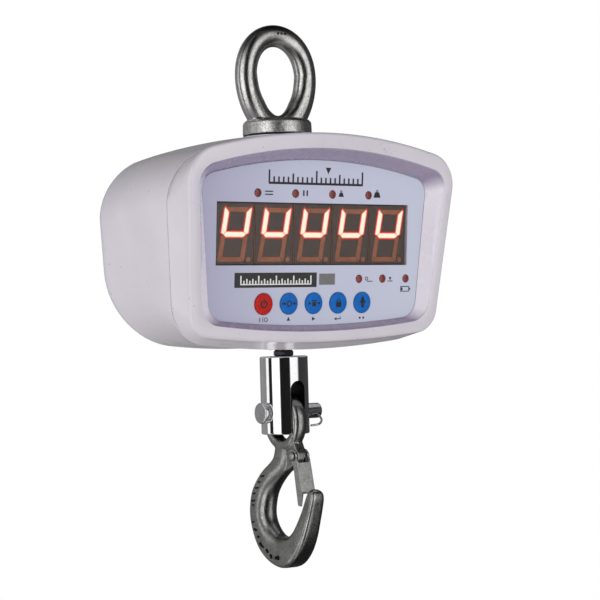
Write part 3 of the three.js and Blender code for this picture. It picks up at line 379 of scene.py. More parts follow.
def board_finish():
    """Solder-masked circuit board with a pattern of tracks under the mask."""
    made = Finish("circuit_board", Coat_Weight=0.4)
    cells = made.new("ShaderNodeTexVoronoi", distance="MANHATTAN")
    made.set(cells, Vector=made.place, Scale=260.0)
    tracks = made.remap(cells.outputs["Distance"], 0.0, 1.0, 0.3, 0.34)
    made.bump((tracks, 0.03))
    return made.done(made.mix(tracks, srgb(24, 78, 48), srgb(34, 104, 62)),
                     made.remap(made.noise(2), 0.35, 0.5))


def make_finishes():
    grey = srgb(168, 166, 164)
    return {
        "paint": paint_finish("housing_paint", srgb(212, 207, 213), srgb(206, 201, 208)),
        "rear_paint": paint_finish("cover_paint", srgb(214, 209, 215), srgb(209, 204, 211)),
        # Paint with painted shade, for the sloping walls round the panel.
        "recess_wall_paint_and_shade": recess_wall_shade_finish(),
        "seam": plastic_finish("seam_rubber", srgb(186, 181, 186), srgb(172, 167, 172)),
        "forged_eye": metal_finish("polished_forging", srgb(228, 227, 224), srgb(136, 135, 132),
                                   (0.15, 0.25), 0.6, 0.08, 9, 0.04),
        "dull_forging": metal_finish("dull_forging", srgb(244, 243, 240), srgb(140, 139, 136),
                                     (0.24, 0.36), 0.95, 0.22, 6, 0.06),
        "forged_hook": metal_finish("rough_forging", srgb(196, 197, 193), srgb(88, 89, 86),
                                    (0.16, 0.3), 0.6, 0.09, 9, 0.06),
        "pin_steel": metal_finish("turned_steel", srgb(228, 227, 228), srgb(204, 203, 204),
                                  (0.12, 0.2), 2.0, 0.003, 9, 0.01),
        "chrome": metal_finish("bright_chrome", srgb(238, 238, 238), srgb(226, 226, 227),
                               (0.03, 0.07), 3.0, 0.0015, 14, 0.01),
        "steel": metal_finish("plated_steel", srgb(205, 204, 200), srgb(150, 149, 146),
                              (0.2, 0.34), 0.6, 0.012),
        "zinc_sheet": metal_finish("zinc_sheet", srgb(232, 232, 229), srgb(170, 170, 167),
                                   (0.12, 0.22), 0.8, 0.03),
        # Blackened steel for the hook stud, and painted shade for the raised marks on the eye and
        # hook, which are coloured dark to stand for the shadows round them.
        "black_steel": metal_finish("blackened_steel_and_mark_shade", srgb(62, 62, 64), srgb(30, 30, 32),
                                    (0.18, 0.34), 0.7, 0.02),
        # Bare steel for the inside of the clevis slot and bores, darkened further as painted shade.
        "bare_steel_and_slot_shade": metal_finish("bare_steel_and_slot_shade", srgb(70, 69, 67), srgb(40, 40, 39),
                                   (0.35, 0.5), 0.7, 0.02),
        "aluminium": metal_finish("milled_aluminium", srgb(200, 202, 204), srgb(168, 170, 172),
                                  (0.28, 0.42), 0.9, 0.01),
        "rubber": plastic_finish("black_rubber", srgb(34, 34, 35), srgb(22, 22, 23), (0.55, 0.75)),
        "film": film_finish(),
        "filter": filter_finish(),
        "digit_body": plastic_finish("display_body", srgb(92, 79, 73), srgb(83, 71, 65), (0.4, 0.5)),
        "segment": plastic_finish("unlit_segment", srgb(184, 112, 78), srgb(166, 98, 66),
                                  (0.3, 0.42)),
        "divider": plastic_finish("display_divider", srgb(150, 98, 74), srgb(120, 84, 66)),
        "glow": glow_finish(),
        "lamp": plastic_finish("indicator_epoxy", srgb(128, 54, 48), srgb(110, 42, 38),
                               (0.2, 0.3), 0.8, 0.004, 0.4),
        "key_red": plastic_finish("red_key", srgb(188, 28, 20), srgb(172, 22, 16),
                                  (0.32, 0.42), 0.4, 0.008, shine=0.2),
        "key_blue": plastic_finish("blue_key", srgb(4, 104, 188), srgb(2, 94, 174),
                                   (0.32, 0.42), 0.4, 0.008, shine=0.2),
        "ink": plastic_finish("black_ink", srgb(34, 34, 38), srgb(24, 24, 28),
                              (0.3, 0.4), 0.3, 0.003),
        "white_ink": plastic_finish("white_ink", srgb(236, 236, 234), srgb(214, 214, 212),
                                    (0.3, 0.4), 0.3, 0.003),
        "label": plastic_finish("black_label", srgb(48, 47, 47), srgb(38, 37, 37),
                                (0.3, 0.4), 0.3, 0.003),
        "badge": metal_finish("grey_badge", srgb(140, 141, 143), grey, (0.4, 0.5), 0.5, 0.01),
        "board": board_finish(),
        "battery": plastic_finish("battery_case", srgb(58, 61, 67), srgb(46, 49, 54)),
        "black_plastic": plastic_finish("black_plastic", srgb(38, 38, 40), srgb(28, 28, 30)),
    }


# ---------------------------------------------------------------- shapes, in millimetres
def shade(mesh, sharp):
    mesh.polygons.foreach_set("use_smooth", [True] * len(mesh.polygons))
    mesh.set_sharp_from_angle(angle=sharp * DEG)


def new_object(name, shape, sharp=34):
    vertices, faces = shape
    mesh = bpy.data.meshes.new(name)
    mesh.from_pydata([Vector(v) * MM for v in vertices], [], faces)
    work = bmesh.new()
    work.from_mesh(mesh)
    bmesh.ops.remove_doubles(work, verts=work.verts, dist=1e-6)
    bmesh.ops.recalc_face_normals(work, faces=work.faces)
    work.to_mesh(mesh)
    work.free()
    shade(mesh, sharp)
    made = bpy.data.objects.new(name, mesh)
    scene.collection.objects.link(made)
    return made


def merge(*shapes):
    vertices, faces = [], []
    for more, loops in shapes:
        first = len(vertices)
        vertices += list(more)
        faces += [tuple(first + i for i in loop) for loop in loops]
    return vertices, faces


def moved(shape, x=0.0, y=0.0, z=0.0):
    return [Vector(v) + Vector((x, y, z)) for v in shape[0]], shape[1]


def turned_about(shape, matrix):
    return [matrix @ Vector(v) for v in shape[0]], shape[1]


PANEL_SPACE = Matrix.Translation((0, 0, MID)) @ Matrix.Rotation(TILT, 4, "X")


def on_panel(shape):
    return turned_about(shape, PANEL_SPACE)


def loft(rings, looped=False):
    """Skin over rings of equal point counts, closed by flat ends or joined end to end."""
    count = len(rings[0])
    vertices = [p for ring in rings for p in ring]
    faces = []
    for i in range(len(rings) if looped else len(rings) - 1):
        a, b = i * count, (i + 1) % len(rings) * count
        for j in range(count):
            k = (j + 1) % count
            faces.append((a + j, a + k, b + k, b + j))
    if not looped:
        faces.append(tuple(range(count)))
        faces.append(tuple(range(len(vertices) - count, len(vertices))))
    return vertices, faces


def softened(points, radius, steps=3, closed=False):
    """A polyline of 2-D points with its corners rounded."""
    result = []
    last = len(points) - 1
    for i, point in enumerate(points):
        if not closed and i in (0, last):
            result.append(Vector(point))
            continue
        here = Vector(point)
        before, after = Vector(points[i - 1]) - here, Vector(points[(i + 1) % len(points)]) - here
        reach = min(radius, before.length * 0.49, after.length * 0.49)
        start, end = here + before.normalized() * reach, here + after.normalized() * reach
        for step in range(steps + 1):
            t = step / steps
            result.append(start * (1 - t) ** 2 + here * 2 * t * (1 - t) + end * t * t)
    return result


AXES = {
    "z": lambda r, a, h: Vector((r * math.cos(a), r * math.sin(a), h)),
    "y": lambda r, a, h: Vector((r * math.cos(a), h, r * math.sin(a))),
    "x": lambda r, a, h: Vector((h, r * math.cos(a), r * math.sin(a))),
}


def circle(count):
    """Angles of a full turn in equal steps."""
    return [2 * math.pi * i / count for i in range(count)]


def turned(profile, axis="z", segments=48, soft=0.0, steps=3):
    """A turned piece. profile is a list of (radius, height); one that ends where it began is
    a ring."""
    ring = tuple(profile[0]) == tuple(profile[-1])
    if soft:
        if ring:
            profile = softened(profile[:-1], soft, steps, closed=True)
        else:
            profile = softened(profile, soft, steps)
    elif ring:
        profile = profile[:-1]
    place = AXES[axis]
    rings = [[place(p[0], a, p[1]) for a in circle(segments)] for p in profile]
    return loft(rings, looped=ring)


def rod(radius, start, end, axis="z", segments=48):
    return turned([(0, start), (radius, start), (radius, end), (0, end)], axis, segments)


def rounded_rect(width, height, radius, x=0.0, z=0.0, steps=6):
    corners = []
    for sx, sz, first in ((1, 1, 0), (-1, 1, 90), (-1, -1, 180), (1, -1, 270)):
        for step in range(steps + 1):
            a = (first + 90 * step / steps) * DEG
            corners.append((x + sx * (width / 2 - radius) + radius * math.cos(a),
                            z + sz * (height / 2 - radius) + radius * math.sin(a)))
    return corners


def slab(outline, front, back):
    """A flat outline of (x, z) given thickness from y = front to y = back."""
    return loft([[Vector((x, y, z)) for x, z in outline] for y in (front, back)])


def slab_x(outline, left, right):
    """A flat outline of (y, z) given thickness along X."""
    return loft([[Vector((x, y, z)) for y, z in outline] for x in (left, right)])


def block(width, depth, height, x, y, z):
    return slab([(x - width / 2, z - height / 2), (x + width / 2, z - height / 2),
                 (x + width / 2, z + height / 2), (x - width / 2, z + height / 2)],
                y - depth / 2, y + depth / 2)


def pad(width, height, radius, front, back, x=0.0, z=0.0, soft=0.6):
    """A rounded rectangle with a softened front edge."""
    rings = []
    for inset_by, y in ((soft, front), (soft * 0.4, front + soft * 0.12),
                        (soft * 0.12, front + soft * 0.4), (0, front + soft), (0, back)):
        rings.append([Vector((px, y, pz)) for px, pz in rounded_rect(
            width - 2 * inset_by, height - 2 * inset_by, max(radius - inset_by, 0.1), x, z)])
    return loft(rings)


def smooth_path(points, steps):
    """Points along a Catmull-Rom curve through these, steps to each span."""
    points = [Vector(p) for p in points]
    ends = [points[0] * 2 - points[1], *points, points[-1] * 2 - points[-2]]
    result = []
    for i in range(1, len(ends) - 2):
        a, b, c, d = ends[i - 1:i + 3]
        for step in range(steps):
            t = step / steps
            result.append(0.5 * (2 * b + (c - a) * t + (2 * a - 5 * b + 4 * c - d) * t * t
                                 + (3 * b - a - 3 * c + d) * t ** 3))
    return [*result, points[-1]]


def tube(path, radius, sides=12, looped=False):
    """Round wire along a path, with domed ends unless it is looped."""
    rings = []
    across = None
    count = len(path)
    for i, point in enumerate(path):
        if looped:
            along = (path[(i + 1) % count] - path[i - 1]).normalized()
        else:
            along = (path[min(i + 1, count - 1)] - path[max(i - 1, 0)]).normalized()
        if across is None:
            across = along.orthogonal().normalized()
        across = (across - along * across.dot(along)).normalized()
        other = along.cross(across)
        ring = [across * math.cos(a) + other * math.sin(a) for a in circle(sides)]
        scales = [(1.0, 0.0)]
        if not looped and i == 0:
            scales = [(0.3, -0.95), (0.75, -0.66), (1.0, 0.0)]
        if not looped and i == count - 1:
            scales = [(1.0, 0.0), (0.75, 0.66), (0.3, 0.95)]
        for scale, ahead in scales:
            rings.append([point + along * ahead * radius + p * radius * scale for p in ring])
    return loft(rings, looped)


def apply_modifiers(made, sharp=None):
    bpy.context.view_layer.update()
    graph = bpy.context.evaluated_depsgraph_get()
    mesh = bpy.data.meshes.new_from_object(made.evaluated_get(graph))
    old = made.data
    made.modifiers.clear()
    made.data = mesh
    bpy.data.meshes.remove(old)
    mesh.name = made.name
    if sharp:
        shade(mesh, sharp)
    return made


def weighted(made, sharp=40):
    """Flat faces keep flat shading, and rounded edges take up the whole turn."""
    shade(made.data, sharp)
    weigh = made.modifiers.new("weigh", "WEIGHTED_NORMAL")
    weigh.keep_sharp = True
    return apply_modifiers(made)


def carve(made, *shapes, operation="DIFFERENCE", sharp=34):
    cutter = new_object("cutter", merge(*shapes))
    modifier = made.modifiers.new("carve", "BOOLEAN")
    modifier.operation = operation
    modifier.solver = "EXACT"
    modifier.object = cutter
    apply_modifiers(made, sharp)
    mesh = cutter.data
    bpy.data.objects.remove(cutter)
    bpy.data.meshes.remove(mesh)
    return made


def bevelled(made, width, steps=2, angle=30, sharp=34):
    modifier = made.modifiers.new("bevel", "BEVEL")
    modifier.width = width * MM
    modifier.segments = steps
    modifier.limit_method = "ANGLE"
    modifier.angle_limit = angle * DEG
    apply_modifiers(made, sharp)
    return weighted(made, sharp)


def blended(made, voxel, passes, sharp=75):
    """Overlapping solids merged into one skin, with their meeting edges smoothed."""
    remesh = made.modifiers.new("remesh", "REMESH")
    remesh.mode = "VOXEL"
    remesh.voxel_size = voxel * MM
    remesh.use_smooth_shade = True
    ease = made.modifiers.new("ease", "SMOOTH")
    ease.factor = 0.5
    ease.iterations = passes
    return apply_modifiers(made, sharp)


def dress(made, finish, slot, body="housing", *stands_for):
    made.data.materials.clear()
    made.data.materials.append(finishes[finish])
    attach(made, body)
    if stands_for:
        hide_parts(*stands_for)
    return made


# ---------------------------------------------------------------- housing outlines
ARCH_REFERENCE = 75
BEZIER_ARC = 0.55


def right_half(edge):
    """Points from the top middle round the right side to the bottom middle."""
    def top_at(x):
        return edge.top - edge.top_sag * (x / ARCH_REFERENCE) ** 2

    def bottom_at(x):
        return edge.bottom + edge.bottom_sag * (x / ARCH_REFERENCE) ** 2

    def side_at(z):
        return edge.half + edge.slope * z

    def corner(arch):
        x = edge.half
        for _ in range(8):
            x = side_at(arch(x))
        return Vector((x, arch(x)))

    def curve(a, middle, b, count):
        near_a, near_b = a.lerp(middle, BEZIER_ARC), b.lerp(middle, BEZIER_ARC)
        for i in range(count):
            t = i / count
            yield (a * (1 - t) ** 3 + near_a * 3 * t * (1 - t) ** 2
                   + near_b * 3 * t * t * (1 - t) + b * t ** 3)

    high, low = corner(top_at), corner(bottom_at)
    high_x, low_x = high.x - edge.top_radius, low.x - edge.bottom_radius
    side_high = Vector((side_at(high.y - edge.top_radius), high.y - edge.top_radius))
    side_low = Vector((side_at(low.y + edge.bottom_radius), low.y + edge.bottom_radius))
    points = [Vector((high_x * i / 16, top_at(high_x * i / 16))) for i in range(16)]
    points += curve(Vector((high_x, top_at(high_x))), high, side_high, 14)
    points += [side_high.lerp(side_low, i / 8) for i in range(8)]
    points += curve(side_low, low, Vector((low_x, bottom_at(low_x))), 14)
    points += [Vector((low_x * (1 - i / 16), bottom_at(low_x * (1 - i / 16)))) for i in range(17)]
    return points


def outline(edge):
    right = right_half(edge)
    return right + [Vector((-p.x, p.y)) for p in reversed(right[1:-1])]


def inset(edge, by):
    return edge._replace(top=edge.top - by, bottom=edge.bottom + by, half=edge.half - by,
                         top_radius=max(edge.top_radius - by, 4),
                         bottom_radius=max(edge.bottom_radius - by, 4))


def standing(points, y, z, tilt):
    """An outline stood up in a plane through (y, z) whose top leans forward by tilt."""
    return [Vector((p.x, y - p.y * math.sin(tilt), z + p.y * math.cos(tilt))) for p in points]


def panel_plane(edge, depth):
    return standing(outline(edge), depth * math.cos(TILT), MID + depth * math.sin(TILT), TILT)


def upright(edge, y):
    return standing(outline(edge), y, MID, 0)


def lip_plane(edge, back):
    return standing(outline(edge), LIP_DEPTH + back, MID, LIP_TILT)


def between(first, second, t):
    return [a.lerp(b, t) for a, b in zip(first, second)]


def window_ring(depth):
    """The display opening, with one point for each point of a panel outline."""
    half_w, half_h = WINDOW_W / 2 + GAP, WINDOW_H / 2 + GAP
    flat = []
    for p in outline(PANEL_EDGE):
        x, z = p.x - WINDOW_X, p.y - WINDOW_Z
        reach = min(half_w / max(abs(x), 1e-6), half_h / max(abs(z), 1e-6))
        flat.append(Vector((x * reach, z * reach)))
    for sx in (-1, 1):
        for sz in (-1, 1):
            corner = Vector((sx * half_w, sz * half_h))
            nearest = min(range(len(flat)), key=lambda i: (flat[i] - corner).length)
            flat[nearest] = corner
    points = [Vector((p.x + WINDOW_X, p.y + WINDOW_Z)) for p in flat]
    return standing(points, depth * math.cos(TILT), MID + depth * math.sin(TILT), TILT)


# ---------------------------------------------------------------- housing
def quarter(steps):
    """(1 - sin, 1 - cos) round a quarter turn."""
    for i in range(steps + 1):
        a = math.pi / 2 * i / steps
        yield 1 - math.sin(a), 1 - math.cos(a)


def joint_at(z):
    return (PARTING - (z - MID) * math.sin(TILT)) / math.cos(TILT)


def in_recess(face):
    """Whether a face belongs to the sloping walls round the key panel."""
    centre = PANEL_SPACE.inverted() @ (face.center / MM)
    inwards = face.normal.x * centre.x + face.normal.z * centre.z < 0
    return inwards and centre.y < PANEL_SEAT - 0.2 and -0.9 < face.normal.y < -0.2


def make_front_cover():
    edge_round = 0.3
    lip_back = lip_plane(LIP_OUTER, LIP_ROUND)
    joint = panel_plane(JOINT_EDGE, PARTING - edge_round)
    rings = [panel_plane(inset(JOINT_EDGE, edge_round), PARTING), joint]
    rings += [between(joint, lip_back, t) for t in (0.25, 0.5, 0.75)]
    rings += [lip_plane(inset(LIP_OUTER, LIP_ROUND * across), LIP_ROUND * back)
              for across, back in reversed(list(quarter(8)))]
    rings += [lip_plane(inset(LIP_INNER, -LIP_INSIDE_ROUND * across), LIP_INSIDE_ROUND * back)
              for across, back in quarter(4)]
    wall_foot = panel_plane(PANEL_EDGE, PANEL_FACE - 0.3)
    rings += [between(rings[-1], wall_foot, t) for t in (0.33, 0.66)]
    rings += [wall_foot, panel_plane(PANEL_EDGE, PANEL_SEAT),
              window_ring(PANEL_SEAT), window_ring(PANEL_BACK),
              panel_plane(inset(LIP_OUTER, 5), PANEL_BACK),
              panel_plane(inset(JOINT_EDGE, WALL), PARTING)]
    made = new_object("front_cover_shell", loft(rings, looped=True), 40)
    holes = [rod(KEY_RADIUS - 1.2, PANEL_SEAT - 3, PANEL_BACK + 3, "y", 40) for _ in KEYS]
    holes = [on_panel(moved(hole, x, 0, KEY_Z)) for hole, x in zip(holes, KEYS.values())]
    holes += [on_panel(moved(rod(LAMP_RADIUS + GAP, PANEL_SEAT - 3, PANEL_BACK + 3, "y", 24),
                             x, 0, z)) for x, z in LAMPS.values()]
    carve(made, *holes, sharp=40)
    dress(made, "paint", "paint", "housing", "front_cover")
    # Painted shade: the sloping walls round the panel take the recess paint, darkened where they face
    # up or down.
    made.data.materials.append(finishes["recess_wall_paint_and_shade"])
    for face in made.data.polygons:
        face.material_index = int(in_recess(face))


def rear_rings(by):
    """Cover section from the joint back to the flat rear, its sides bowed a little."""
    joint = panel_plane(inset(JOINT_EDGE, by), PARTING + SEAL)
    middle = upright(inset(MIDDLE_EDGE, by), 0)
    rear = upright(inset(REAR_EDGE, by), REAR_Y - REAR_ROUND)
    bend = -joint[0].y / (rear[0].y - joint[0].y)
    rings = []
    for i in range(24):
        t = i / 24
        a = (t - bend) * (t - 1) / bend
        b = t * (t - 1) / (bend * (bend - 1))
        c = t * (t - bend) / (1 - bend)
        rings.append([p * a + q * b + r * c for p, q, r in zip(joint, middle, rear)])
    radius = REAR_ROUND - by
    for across, back in quarter(10):
        rings.append(upright(inset(REAR_EDGE, by + radius * back),
                             REAR_Y - REAR_ROUND + radius * (1 - across)))
    return rings


def door_screws():
    return [(sx * (DOOR_W / 2 - DOOR_SCREW_IN), DOOR_Z + sz * (DOOR_H / 2 - DOOR_SCREW_IN))
            for sx in (-1, 1) for sz in (-1, 1)]


def make_rear_cover():
    outer, inner = rear_rings(0), rear_rings(WALL)
    edge_round = 0.5
    rim = panel_plane(inset(JOINT_EDGE, edge_round), PARTING + SEAL)
    outer[0] = panel_plane(JOINT_EDGE, PARTING + SEAL + edge_round)
    made = new_object("rear_cover_shell", loft([*reversed(outer), rim, *inner]), 40)
    carve(made, rod(SEAT_RADIUS, SEAT_TOP - 5, SEAT_TOP, segments=72), operation="UNION", sharp=40)
    carve(made, rod(SEAT_RADIUS, SEAT_TOP, SEAT_TOP + 8, segments=72),
          rod(DRAIN_RADIUS, -212, -200), sharp=40)
    carve(made, rod(SHANK_RADIUS + GAP, SEAT_TOP - 9, SEAT_TOP + 4), sharp=40)
    cuts = [moved(rod(COVER_HEAD + GAP, REAR_Y - 4, REAR_Y + 5, "y", 32), x, 0, z)
            for x, z in SCREWS]
    cuts += [moved(rod(DOOR_SHANK + GAP, REAR_Y - 12, REAR_Y + 5, "y", 20), x, 0, z)
             for x, z in door_screws()]
    cuts.append(moved(rod(SOCKET_RADIUS + GAP, REAR_Y - 12, REAR_Y + 5, "y", 32),
                      SOCKET_X, 0, SOCKET_Z))
    cuts.append(block(DOOR_W - 14, 20, DOOR_H - 14, 0, REAR_Y, DOOR_Z))
    posts = []
    for x, z in SCREWS:
        bore, top = COVER_SHANK + GAP, REAR_Y - 3.8
        post = turned([(bore, 5), (5, 5), (5, top), (bore, top), (bore, 5)], "y", 24)
        posts.append(moved(post, x, 0, z))
    carve(made, *cuts, sharp=40)
    weighted(made, 40)
    dress(made, "rear_paint", "paint", "housing", "rear_cover")
    dress(new_object("rear_cover_posts", merge(*posts)), "rear_paint", "paint")


def screw(name, x, z, head, height, shank, seat, tip, stands_for):
    """Pan-head screw seen from behind, with a cross recess."""
    profile = softened([(0, tip), (shank - 0.4, tip), (shank, tip + 0.8), (shank, seat),
                        (head, seat), (head, seat + height * 0.45),
                        (head * 0.7, seat + height), (0, seat + height)], 0.35)
    made = new_object(name, moved(turned(profile, "y", 40), x, 0, z))
    top = seat + height
    carve(made, block(head * 1.1, 2, 0.75, x, top, z))
    carve(made, block(0.75, 2, head * 1.1, x, top, z))
    dress(made, "steel", "steel", "housing", stands_for)


def make_fasteners():
    for i, (x, z) in enumerate(SCREWS, start=1):
        screw(f"cover_screw_{i}_head", x, z, COVER_HEAD, 2.6, COVER_SHANK, REAR_Y - 4 + GAP,
              joint_at(z) - 7, f"cover_screw_{i}")
    face = REAR_Y + GAP + DOOR_THICK
    rings = []
    for by, y in ((0.4, REAR_Y + GAP), (0, REAR_Y + GAP + 0.4), (0, face - 1.1), (0.3, face - 0.45),
                  (1.0, face - 0.1), (1.6, face)):
        rings.append([Vector((x, y, z)) for x, z in rounded_rect(
            DOOR_W - 2 * by, DOOR_H - 2 * by, 8 - by, 0, DOOR_Z)])
    door = new_object("battery_door", loft(rings))
    sunk = face - DOOR_SINK
    for radius, end, sides in ((3.2, face + 1, 32), (DOOR_SHANK + GAP, REAR_Y - 5, 24)):
        carve(door, *(moved(rod(radius, sunk, end, "y", sides), x, 0, z)
                      for x, z in door_screws()))
    grooves = [pad(46, 1.6, 0.8, face - 0.6, face + 2, 0, DOOR_Z + 26 - 4.5 * i, 0.05)
               for i in range(5)]
    carve(door, *grooves)
    dress(door, "rear_paint", "paint", "housing", "battery_cover")
    for i, (x, z) in enumerate(door_screws(), start=1):
        screw(f"door_screw_{i}_head", x, z, DOOR_HEAD, 1.3, DOOR_SHANK, face - 1.4, REAR_Y - 8,
              f"battery_cover_screw_{i}")
    flange, foot = SOCKET_RADIUS + 2.5, REAR_Y + GAP
    socket = turned([(3, REAR_Y - 11), (3, foot + 2), (flange, foot + 2), (flange, foot),
                     (SOCKET_RADIUS, foot), (SOCKET_RADIUS, REAR_Y - 14), (0, REAR_Y - 14)],
                    "y", 40, 0.3)
    dress(new_object("charge_socket_body", moved(socket, SOCKET_X, 0, SOCKET_Z)),
          "black_plastic", "black_plastic", "housing", "charge_socket")
    seat = REAR_Y + 2 * GAP + 2
    cap = turned([(0, REAR_Y - 5), (2.2, REAR_Y - 5), (2.6, REAR_Y - 4), (2.6, seat),
                  (SOCKET_RADIUS + 3, seat), (SOCKET_RADIUS + 3, seat + 1.4),
                  (SOCKET_RADIUS + 1.4, seat + 2.6), (0, seat + 2.3)], "y", 40, 0.5)
    ridges = [moved(turned_about(pad(9.5, 0.9, 0.4, -0.1, 0.5, 0, 1.8 * i, 0.08),
                                 Matrix.Rotation(math.pi, 4, "Z")), 0, seat + 2.5, 0)
              for i in (-1, 0, 1)]
    dress(new_object("socket_cap_rubber", moved(merge(cap, *ridges), SOCKET_X, 0, SOCKET_Z)),
          "rubber", "rubber", "socket_cap", "socket_cap")


# ---------------------------------------------------------------- key panel
INK_FRONT, INK_BACK = PANEL_FACE - 0.05, PANEL_FACE + 0.1


def disc(radius, x, z, front=INK_FRONT, back=INK_BACK, segments=32):
    return moved(rod(radius, front, back, "y", segments), x, 0, z)


def arc(inner, outer, x, z, start=0.0, end=360.0, front=INK_FRONT, back=INK_BACK, steps=28):
    """A flat ring, or part of one, from start to end degrees."""
    if end - start >= 360:
        return moved(turned([(inner, front), (outer, front), (outer, back), (inner, back),
                             (inner, front)], "y", 40), x, 0, z)
    angles = [(start + (end - start) * i / steps) * DEG for i in range(steps + 1)]
    points = [(x + outer * math.cos(a), z + outer * math.sin(a)) for a in angles]
    points += [(x + inner * math.cos(a), z + inner * math.sin(a)) for a in reversed(angles)]
    return slab(points, front, back)


def bar(width, height, x, z, front=INK_FRONT, back=INK_BACK):
    return block(width, back - front, height, x, (front + back) / 2, z)


def frame_of(width, height, line, x, z, front=INK_FRONT, back=INK_BACK):
    """Outline of a rectangle, as one closed band."""
    rings = []
    for w, h, y in ((width, height, front), (width, height, back),
                    (width - 2 * line, height - 2 * line, back),
                    (width - 2 * line, height - 2 * line, front)):
        rings.append([Vector((x + sx * w / 2, y, z + sz * h / 2))
                      for sx, sz in ((-1, -1), (1, -1), (1, 1), (-1, 1))])
    return loft(rings, looped=True)


def arrow(size, x, z, angle, front=INK_FRONT, back=INK_BACK):
    """A solid triangle whose tip points at this angle, 0 to the right and 90 up."""
    points = []
    for turn, reach in ((0, 0.62), (125, 0.6), (-125, 0.6)):
        a = (angle + turn) * DEG
        points.append((x + size * reach * math.cos(a), z + size * reach * math.sin(a)))
    return slab(points, front, back)


def make_panel():
    film = new_object("panel_film", on_panel(slab(
        [(p.x, p.y) for p in outline(inset(PANEL_EDGE, GAP))], PANEL_FACE, PANEL_FACE + FILM)))
    cuts = [on_panel(block(WINDOW_W, 8, WINDOW_H, WINDOW_X, PANEL_FACE, WINDOW_Z))]
    cuts += [on_panel(disc(KEY_RADIUS + GAP, x, KEY_Z, PANEL_FACE - 3, PANEL_FACE + 3, 56))
             for x in KEYS.values()]
    cuts += [on_panel(disc(LAMP_RADIUS + GAP * 0.5, x, z, PANEL_FACE - 3, PANEL_FACE + 3))
             for x, z in LAMPS.values()]
    carve(film, *cuts)
    dress(film, "film", "panel_film", "housing", "panel_overlay")
    lens = pad(WINDOW_W - 2 * GAP, WINDOW_H - 2 * GAP, 0.5, PANEL_FACE + 0.1, PANEL_FACE + 1.9,
               WINDOW_X, WINDOW_Z, 0.2)
    dress(new_object("smoked_window", on_panel(lens)), "filter", "smoked_window", "housing",
          "window_filter")
    for name, (x, z) in LAMPS.items():
        dome = turned([(0, PANEL_FACE - 0.15), (LAMP_RADIUS - 0.5, PANEL_FACE - 0.02),
                       (LAMP_RADIUS, PANEL_FACE + 0.35), (LAMP_RADIUS, BOARD_FRONT - 1.5),
                       (3.3, BOARD_FRONT - 1.5), (3.3, BOARD_FRONT - GAP), (0, BOARD_FRONT - GAP)],
                      "y", 32, 0.3)
        dress(new_object(name + "_lens", on_panel(moved(dome, x, 0, z))), "lamp", "lamp", "housing",
              name)


FILTER_BACK = PANEL_FACE + 1.9
MODULE_FRONT = PANEL_BACK + GAP
BOARD_FRONT = MODULE_FRONT + DIGIT_D + GAP
FACE_Y = FILTER_BACK + GAP + 0.25            # front of the digit modules, behind the window
SEG_W, SEG_H, SEG_V, SEG_T, SEG_GAP, SLANT = 10.4, 17.7, 3.3, 3.0, 0.3, 0.155


def segment_outlines():
    """The seven bars of a digit, and which are lit, before the digit's slant."""
    w, h, v, t, g = SEG_W, SEG_H, SEG_V, SEG_T, SEG_GAP
    top = [(-w + 0.7, h), (w - 0.7, h), (w - v - g, h - t), (-w + v + g, h - t)]
    middle = [(-w + v / 2 + g, 0), (-w + v + g, t / 2), (w - v - g, t / 2), (w - v / 2 - g, 0),
              (w - v - g, -t / 2), (-w + v + g, -t / 2)]
    upper = [(-w, h - 0.9), (-w + 0.35, h - 0.45), (-w + v, h - t - g * 0.4), (-w + v, t / 2 + g),
             (-w + v / 2, g * 1.1), (-w, t / 2 - 0.5)]

    def mirrored(points, sx, sz):
        return [(x * sx, z * sz) for x, z in points]

    return {
        "top": (top, False), "middle": (middle, True), "bottom": (mirrored(top, 1, -1), False),
        "upper_left": (upper, True), "upper_right": (mirrored(upper, -1, 1), True),
        "lower_left": (mirrored(upper, 1, -1), False),
        "lower_right": (mirrored(upper, -1, -1), False),
    }


def grown(points, by):
    """A convex outline with each side moved out by this much, corners mitred."""
    area = sum(a[0] * b[1] - b[0] * a[1] for a, b in zip(points, points[1:] + points[:1]))
    sign = 1 if area > 0 else -1
    result = []
    for i, point in enumerate(points):
        here = Vector(point)
        before = (here - Vector(points[i - 1])).normalized()
        after = (Vector(points[(i + 1) % len(points)]) - here).normalized()
        out_a, out_b = Vector((before.y, -before.x)) * sign, Vector((after.y, -after.x)) * sign
        mitre = (out_a + out_b) / max(1 + out_a.dot(out_b), 0.5)
        result.append((here.x + mitre.x * by, here.y + mitre.y * by))
    return result


def make_glow(name, outlines, centre_x, centre_z):
    """Lit bars: a bright core inside each outline and a falling glow round it."""
    rings = ((-0.8, 1.0), (-0.35, 0.95), (0.1, 0.68), (0.35, 0.48), (0.65, 0.38), (1.05, 0.2),
             (1.5, 0.08), (2.0, 0.0))
    vertices, faces, glow = [], [], []
    for points in outlines:
        loops = [[(x + SLANT * z, z) for x, z in grown(points, by)] for by, _ in rings]
        first = len(vertices)
        count = len(points)
        for loop, (by, level) in zip(loops, rings):
            lift = 0.12 if by <= 0.35 else 0.04
            vertices += [(centre_x + x, FACE_Y - lift, centre_z + z) for x, z in loop]
            glow += [level] * count
        vertices += [(centre_x + x, FACE_Y + 0.05, centre_z + z) for x, z in loops[-1]]
        glow += [0.0] * count
        rows = len(rings)
        for i in range(rows):
            for j in range(count):
                k = (j + 1) % count
                a, b = first + i * count, first + (i + 1) * count
                faces.append((a + j, a + k, b + k, b + j))
        faces.append(tuple(range(first, first + count)))
        faces.append(tuple(range(first + rows * count, first + (rows + 1) * count)))
    vertices, faces = on_panel((vertices, faces))
    mesh = bpy.data.meshes.new(name)
    mesh.from_pydata([v * MM for v in vertices], [], faces)
    mesh.attributes.new("glow", "FLOAT", "POINT").data.foreach_set("value", glow)
    work = bmesh.new()
    work.from_mesh(mesh)
    bmesh.ops.recalc_face_normals(work, faces=work.faces)
    work.to_mesh(mesh)
    work.free()
    made = bpy.data.objects.new(name, mesh)
    scene.collection.objects.link(made)
    dress(made, "glow", "digit_body")


